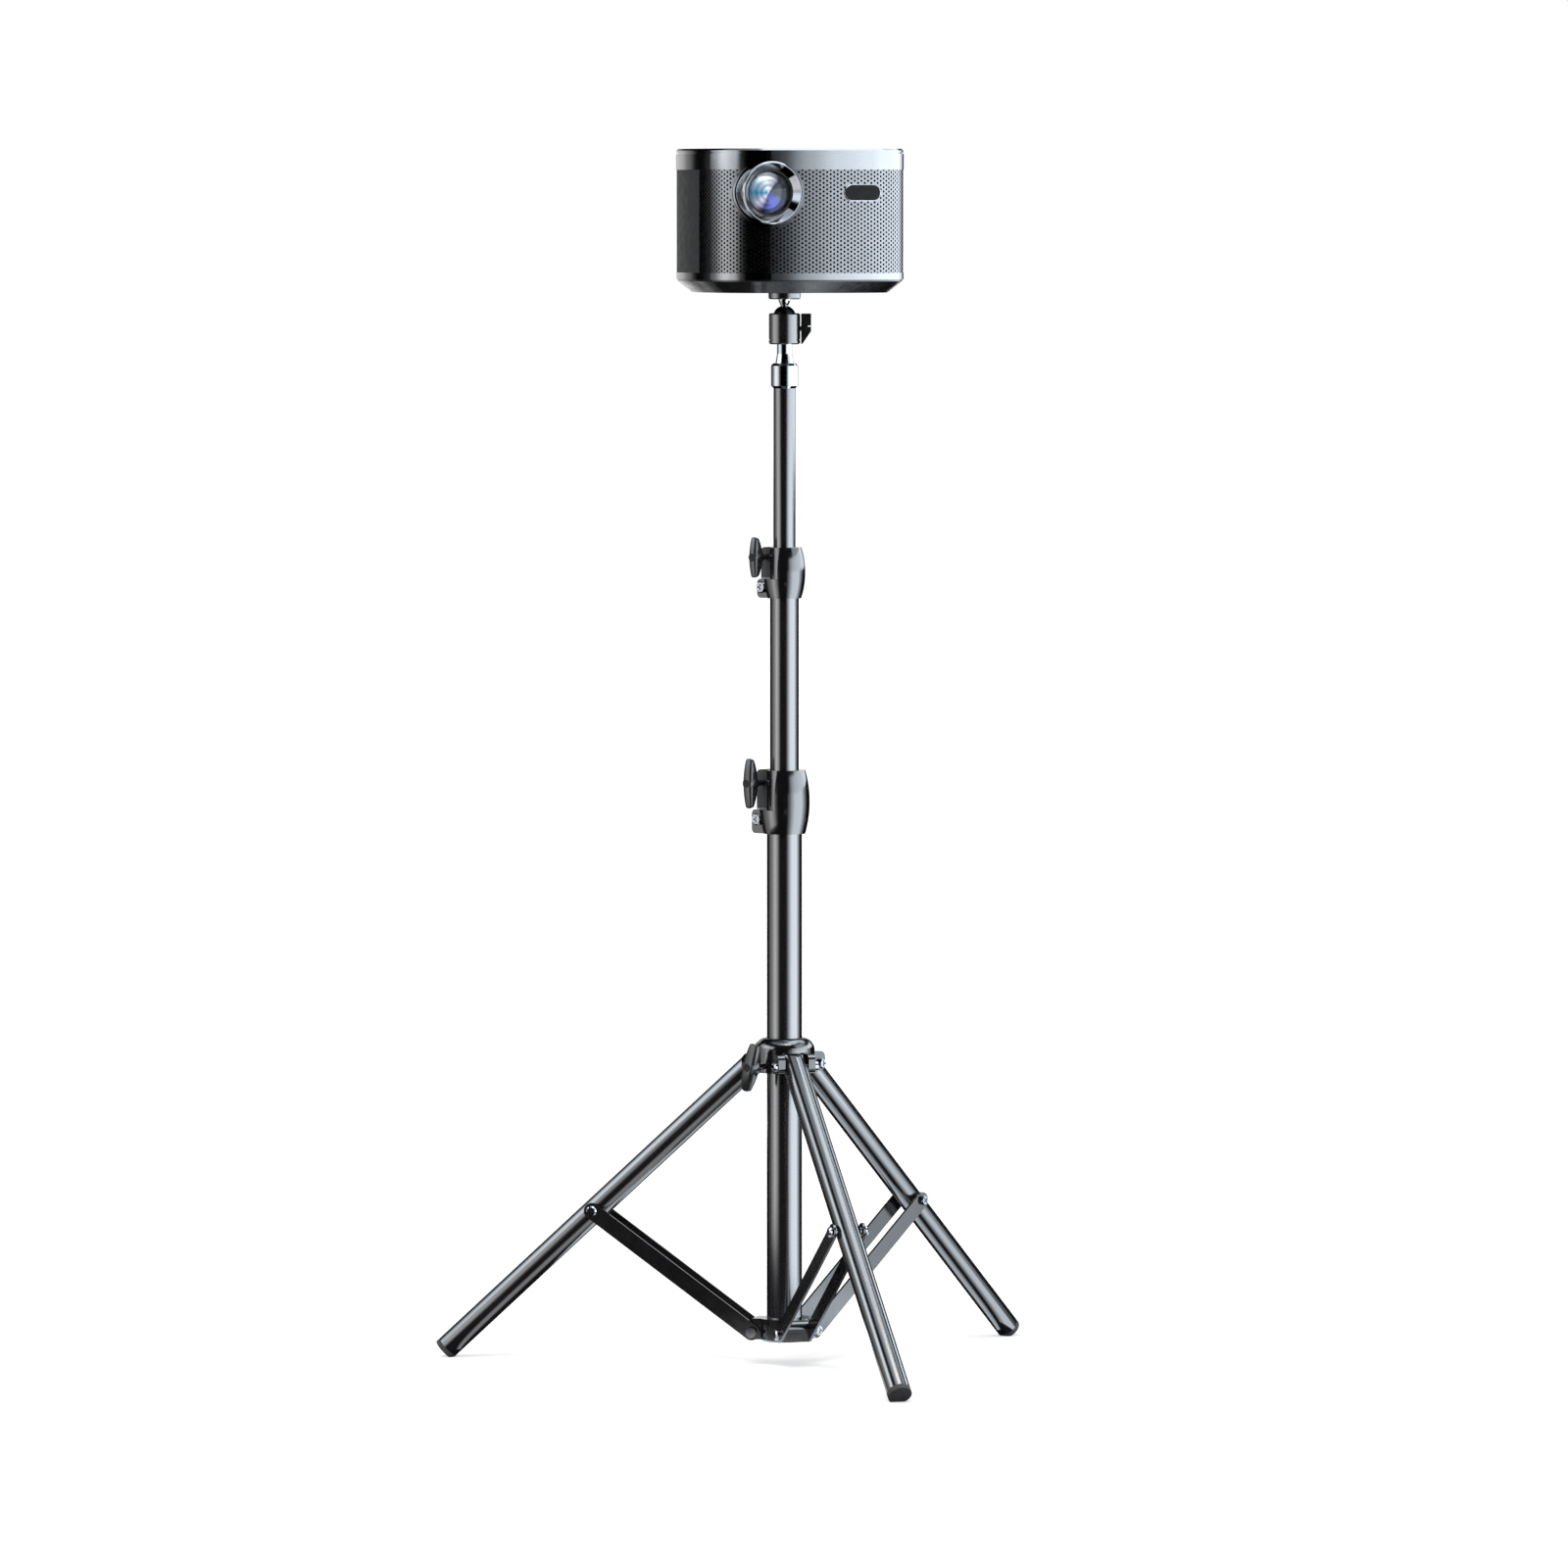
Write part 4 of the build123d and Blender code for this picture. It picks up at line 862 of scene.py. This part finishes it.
BLUE_WHITE = (0.91, 1.0, 1.09)
NEUTRAL = (1.0, 1.0, 1.0)
STAGE_RADIUS = 2.0
STAGE_CENTRE = Vector((0, 0, 0.55))
PANEL_STEP = 2.0
FLAG_SIZE = 4.0
FLAG_CELLS = 8
FLAG_LIFT = 0.001
FAN_LIFT = 0.002
FAN_ROWS = 6
FAN_HUB = 0.02
CARD_LIFT = 0.003
LENS_CARD_RADIUS = 0.5
BACKDROP_RADIUS = 2.3


def along(pairs, value):
    """Smooth curve through (place, level) pairs."""
    if value <= pairs[0][0]:
        return pairs[0][1]
    for (start, low), (end, high) in zip(pairs, pairs[1:]):
        if value <= end:
            part = (value - start) / (end - start)
            part = part * part * (3 - 2 * part)
            return low + (high - low) * part
    return pairs[-1][1]


def stage_direction(azimuth, elevation):
    """Direction by azimuth from the camera's, positive to its right, and elevation, in degrees."""
    turn = VIEW_AZIMUTH + radians(azimuth)
    rise = radians(elevation)
    return Vector((sin(turn) * cos(rise), -cos(turn) * cos(rise), sin(rise)))


def panel_material():
    """Light as bright as the colours of its vertices say."""
    made = bpy.data.materials.new("stage_panel")
    made.use_nodes = True
    nodes, links = made.node_tree.nodes, made.node_tree.links
    nodes.remove(nodes["Principled BSDF"])
    glow = nodes.new("ShaderNodeVertexColor")
    glow.layer_name = "glow"
    emission = nodes.new("ShaderNodeEmission")
    links.new(glow.outputs["Color"], emission.inputs["Color"])
    links.new(emission.outputs["Emission"], nodes["Material Output"].inputs["Surface"])
    return made


PANEL_MATERIAL = panel_material()


def glowing_sheet(name, places, levels, columns, colour):
    """Stage sheet on a grid of places that shows in reflections only, as bright as the levels say."""
    faces = []
    for first in range(len(places) - columns - 1):
        if first % (columns + 1) != columns:
            faces.append((first, first + 1, first + columns + 2, first + columns + 1))
    mesh = bpy.data.meshes.new(name)
    mesh.from_pydata(places, [], faces)
    glow = mesh.attributes.new("glow", "FLOAT_COLOR", "POINT")
    for index, level in enumerate(levels):
        glow.data[index].color = (*[channel * level for channel in colour], 1)
    mesh.materials.append(PANEL_MATERIAL)
    made = make_object(name, mesh)
    made.visible_camera = False
    made.visible_diffuse = False
    made.visible_shadow = False


def panel(name, across, upward, colour=NEUTRAL, strength=0.0, radius=STAGE_RADIUS, centre=STAGE_CENTRE):
    """Curved panel round the object, with soft edges set by curves over azimuth and elevation.

    Where it would pass under the floor it runs on along the floor towards the object.
    """
    start, end = across[0][0], across[-1][0]
    low, high = upward[0][0], upward[-1][0]
    columns = max(2, round((end - start) / PANEL_STEP))
    rows = max(2, round((high - low) / PANEL_STEP))
    places, levels = [], []
    for row in range(rows + 1):
        elevation = low + (high - low) * row / rows
        for column in range(columns + 1):
            azimuth = start + (end - start) * column / columns
            place = centre + stage_direction(azimuth, elevation) * radius
            place.z = max(place.z, CARD_LIFT)
            places.append(place)
            levels.append(strength * along(across, azimuth) * along(upward, elevation))
    glowing_sheet(name, places, levels, columns, colour)


def floor_fan(name, foot, across, reach, colour, strength):
    """Fan of light on the floor about a foot, by the angle from the mast towards the camera's side."""
    facing = atan2(-foot.y, -foot.x)
    side = 1 if Vector((-foot.y, foot.x)).dot(stage_direction(0, 0).xy) < 0 else -1
    start, end = across[0][0], across[-1][0]
    columns = round((end - start) / PANEL_STEP)
    places, levels = [], []
    for row in range(FAN_ROWS + 1):
        for column in range(columns + 1):
            angle = start + (end - start) * column / columns
            turn = facing + side * radians(angle)
            distance = reach * (FAN_HUB + (1 - FAN_HUB) * row / FAN_ROWS)
            places.append(Vector((foot.x + distance * cos(turn), foot.y + distance * sin(turn), FAN_LIFT)))
            levels.append(strength * along(across, angle))
    glowing_sheet(name, places, levels, columns, colour)


def floor_flag():
    """Black cloth on the floor round the stand."""
    places = []
    for row in range(FLAG_CELLS + 1):
        for column in range(FLAG_CELLS + 1):
            right, front = column / FLAG_CELLS - 0.5, row / FLAG_CELLS - 0.5
            places.append(Vector((right * FLAG_SIZE, front * FLAG_SIZE, FLAG_LIFT)))
    glowing_sheet("floor_flag", places, [0] * len(places), FLAG_CELLS, NEUTRAL)


def studio_panels():
    """Panels by their levels over azimuth and over elevation, then the floor's cloth and fans of light."""
    panel("backdrop", [(-165, 0), (165, 0)], [(-20, 0), (90, 0)], radius=BACKDROP_RADIUS)
    panel("rear_card", [(165, 0.3), (195, 0.3)], [(8, 1), (60, 1)], strength=1.0, radius=BACKDROP_RADIUS)
    panel("right_softbox",
          [(12, 0), (24, 0.2), (36, 0.6), (50, 1), (85, 1), (97, 0.5), (107, 0.22), (121, 0)],
          [(-74, 1), (3, 1)], BLUE_WHITE, strength=5.0)
    panel("right_high_softbox",
          [(16, 0), (22, 0.05), (32, 0.4), (42, 0.7), (58, 0.9), (75, 1), (119, 1), (160, 0)],
          [(3, 1), (20, 1)], BLUE_WHITE, strength=4.4)
    panel("left_softbox",
          [(-125, 0), (-110, 0.18), (-88, 0.4), (-64, 1), (-48, 0.6), (-38, 0.15), (-30, 0)],
          [(-62, 1), (3, 1)], strength=2.8)
    panel("left_high_softbox",
          [(-128, 0), (-110, 0.2), (-75, 1), (-57, 0.7), (-40, 0.06), (-30, 0)],
          [(3, 1), (12, 1)], strength=2.35)
    panel("left_rear_softbox",
          [(-165, 1.1), (-150, 0.95), (-141, 0.4), (-134, 0)],
          [(3, 1), (20, 1)], strength=1.0)
    panel("left_bank",
          [(-125, 0), (-105, 0.6), (-82, 1.1), (-52, 0.7), (-40, 0)],
          [(12, 0.75), (20, 1), (28, 1), (38, 0)], BLUE_WHITE, strength=4.2)
    panel("lens_card",
          [(-5, 0), (8, 1), (55, 1), (68, 0)],
          [(22, 0), (28, 1), (50, 1), (58, 0)], strength=7.0, radius=LENS_CARD_RADIUS, centre=LENS_CENTRE)
    panel("right_bank",
          [(45, 0), (60, 1), (95, 1), (120, 0)],
          [(20, 1), (40, 1), (55, 0)], BLUE_WHITE, strength=2.0)
    panel("top_bank",
          [(-170, 0), (-60, 0.25), (20, 1), (150, 1), (190, 0)],
          [(56, 1), (90, 1)], BLUE_WHITE, strength=4.2)
    panel("right_rear_bank",
          [(95, 0), (110, 1), (150, 1), (165, 0)],
          [(30, 0), (40, 1), (56, 1)], BLUE_WHITE, strength=3.0)
    floor_flag()
    floor_fan("left_leg_fan", LEFT_FOOT,
              [(5, 0), (14, 0.7), (26, 1), (38, 0.8), (52, 0)],
              reach=0.45, colour=NEUTRAL, strength=1.2)
    floor_fan("right_leg_low_fan", RIGHT_FOOT,
              [(-40, 0), (-25, 0.9), (-9, 1), (8, 0.6), (16, 0)],
              reach=0.33, colour=BLUE_WHITE, strength=2.3)
    floor_fan("right_leg_fan", RIGHT_FOOT,
              [(34, 0), (50, 0.4), (75, 1), (115, 1), (140, 0)],
              reach=0.75, colour=BLUE_WHITE, strength=3.2)


def background_share(nodes, links):
    """Value that is 1 for rays that show the background and 0 for rays that only carry light."""
    path = nodes.new("ShaderNodeLightPath")
    first = nodes.new("ShaderNodeMath")
    first.operation = "MAXIMUM"
    links.new(path.outputs["Is Camera Ray"], first.inputs[0])
    links.new(path.outputs["Is Glossy Ray"], first.inputs[1])
    both = nodes.new("ShaderNodeMath")
    both.operation = "MAXIMUM"
    links.new(first.outputs["Value"], both.inputs[0])
    links.new(path.outputs["Is Transmission Ray"], both.inputs[1])
    return both.outputs["Value"]


WORLD_FILL = 0.5
FLOOR_GLOW = 0.5
FLOOR_ALBEDO = 0.8
FLOOR_SIZE = 30.0
SUN_STRENGTH = 1.6
SUN_ANGLE = radians(40)
SUN_FROM = Vector((-0.35, -0.45, 1.0))


def build_world():
    """White background, which gives less light than it shows."""
    world = bpy.data.worlds.new("studio")
    bpy.context.scene.world = world
    world.use_nodes = True
    nodes, links = world.node_tree.nodes, world.node_tree.links
    spread = nodes.new("ShaderNodeMapRange")
    spread.inputs["To Min"].default_value = WORLD_FILL
    spread.inputs["To Max"].default_value = 1.0
    links.new(background_share(nodes, links), spread.inputs["Value"])
    nodes["Background"].inputs["Color"].default_value = (1, 1, 1, 1)
    links.new(spread.outputs["Result"], nodes["Background"].inputs["Strength"])


def build_floor():
    """White floor that glows a little to the camera, so that it meets the background."""
    half = FLOOR_SIZE / 2
    corners = [(-half, -half, 0), (half, -half, 0), (half, half, 0), (-half, half, 0)]
    floor = mesh_from("floor", corners, [(0, 1, 2, 3)])
    made = bpy.data.materials.new("floor_white")
    made.use_nodes = True
    nodes, links = made.node_tree.nodes, made.node_tree.links
    nodes.remove(nodes["Principled BSDF"])
    diffuse = nodes.new("ShaderNodeBsdfDiffuse")
    diffuse.inputs["Color"].default_value = (FLOOR_ALBEDO, FLOOR_ALBEDO, FLOOR_ALBEDO, 1)
    emission = nodes.new("ShaderNodeEmission")
    glow = nodes.new("ShaderNodeMath")
    glow.operation = "MULTIPLY"
    glow.inputs[1].default_value = FLOOR_GLOW
    links.new(background_share(nodes, links), glow.inputs[0])
    links.new(glow.outputs["Value"], emission.inputs["Strength"])
    both = nodes.new("ShaderNodeAddShader")
    links.new(diffuse.outputs["BSDF"], both.inputs[0])
    links.new(emission.outputs["Emission"], both.inputs[1])
    links.new(both.outputs["Shader"], nodes["Material Output"].inputs["Surface"])
    floor.data.materials.append(made)


def build_sun():
    """Wide sun for the floor's shadow, left out of reflections."""
    light = bpy.data.lights.new("sun", "SUN")
    light.energy = SUN_STRENGTH
    light.angle = SUN_ANGLE
    sun = make_object("sun", light)
    sun.rotation_euler = SUN_FROM.to_track_quat("Z", "Y").to_euler()
    sun.visible_glossy = False


def build_camera():
    """Camera with the photograph's angle and distance."""
    data = bpy.data.cameras.new("camera")
    data.sensor_fit = "HORIZONTAL"
    data.sensor_width = SENSOR_WIDTH_MM
    data.lens = FOCAL_PIXELS / IMAGE_WIDTH * SENSOR_WIDTH_MM
    data.clip_end = CLIP_END
    camera = make_object("camera", data)
    back = Vector((sin(VIEW_AZIMUTH), -cos(VIEW_AZIMUTH), 0))
    right = Vector((cos(VIEW_AZIMUTH), sin(VIEW_AZIMUTH), 0))
    camera.location = back * EYE_DISTANCE + right * EYE_ASIDE + Vector((0, 0, EYE_HEIGHT))
    camera.rotation_euler = (pi / 2 - VIEW_TILT, 0, VIEW_AZIMUTH)
    bpy.context.scene.camera = camera


# Assembly


finishes = {make.__name__: make() for make in SLOT_FINISHES}
for part in frame["record"]["subparts"]:
    dress(frame["nodes"][part["node"]], finishes[part["material_slot"]])
dress(frame["nodes"]["ball_stud"], ball_and_stud())
dress(frame["nodes"]["rear_cover"], cover_black())
dress(frame["nodes"]["lower_collar"], clamp_black("lower_collar", "lower_knob"))
dress(frame["nodes"]["upper_collar"], clamp_black("upper_collar", "upper_knob"))
dress(frame["nodes"]["lens_bezel"], bezel_steel())

grille = GrilleSheet().bent()
dress(grille, finishes["grille_silver"])
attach(grille, "projector")
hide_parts("grille_wrap")

rear_element, baffle = lens_inside()
# Rear element's colour holds painted reflections and painted ring shade
dress(rear_element, lens_coating_painted_reflections())
dress(baffle, finishes["liner_black"])
rim = sensor_rim()
dress(rim, finishes["chrome"])
for piece, slot in ((rear_element, "lens_glass"), (baffle, "liner_black"), (rim, "chrome")):
    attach(piece, "projector")

for node, body in KNOB_BODIES.items():
    knob = WingKnob(node)
    wings = knob.made()
    dress(wings, finishes["knob_black"])
    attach(wings, body)
    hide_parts(node)
    # Matt black socket: painted shade for the screw's hole
    painted_shade_socket = knob.painted_shade_socket()
    dress(painted_shade_socket, finishes["liner_black"])
    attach(painted_shade_socket, body)

build_camera()
build_world()
build_floor()
build_sun()
studio_panels()
bpy.context.scene.view_settings.view_transform = "Standard"
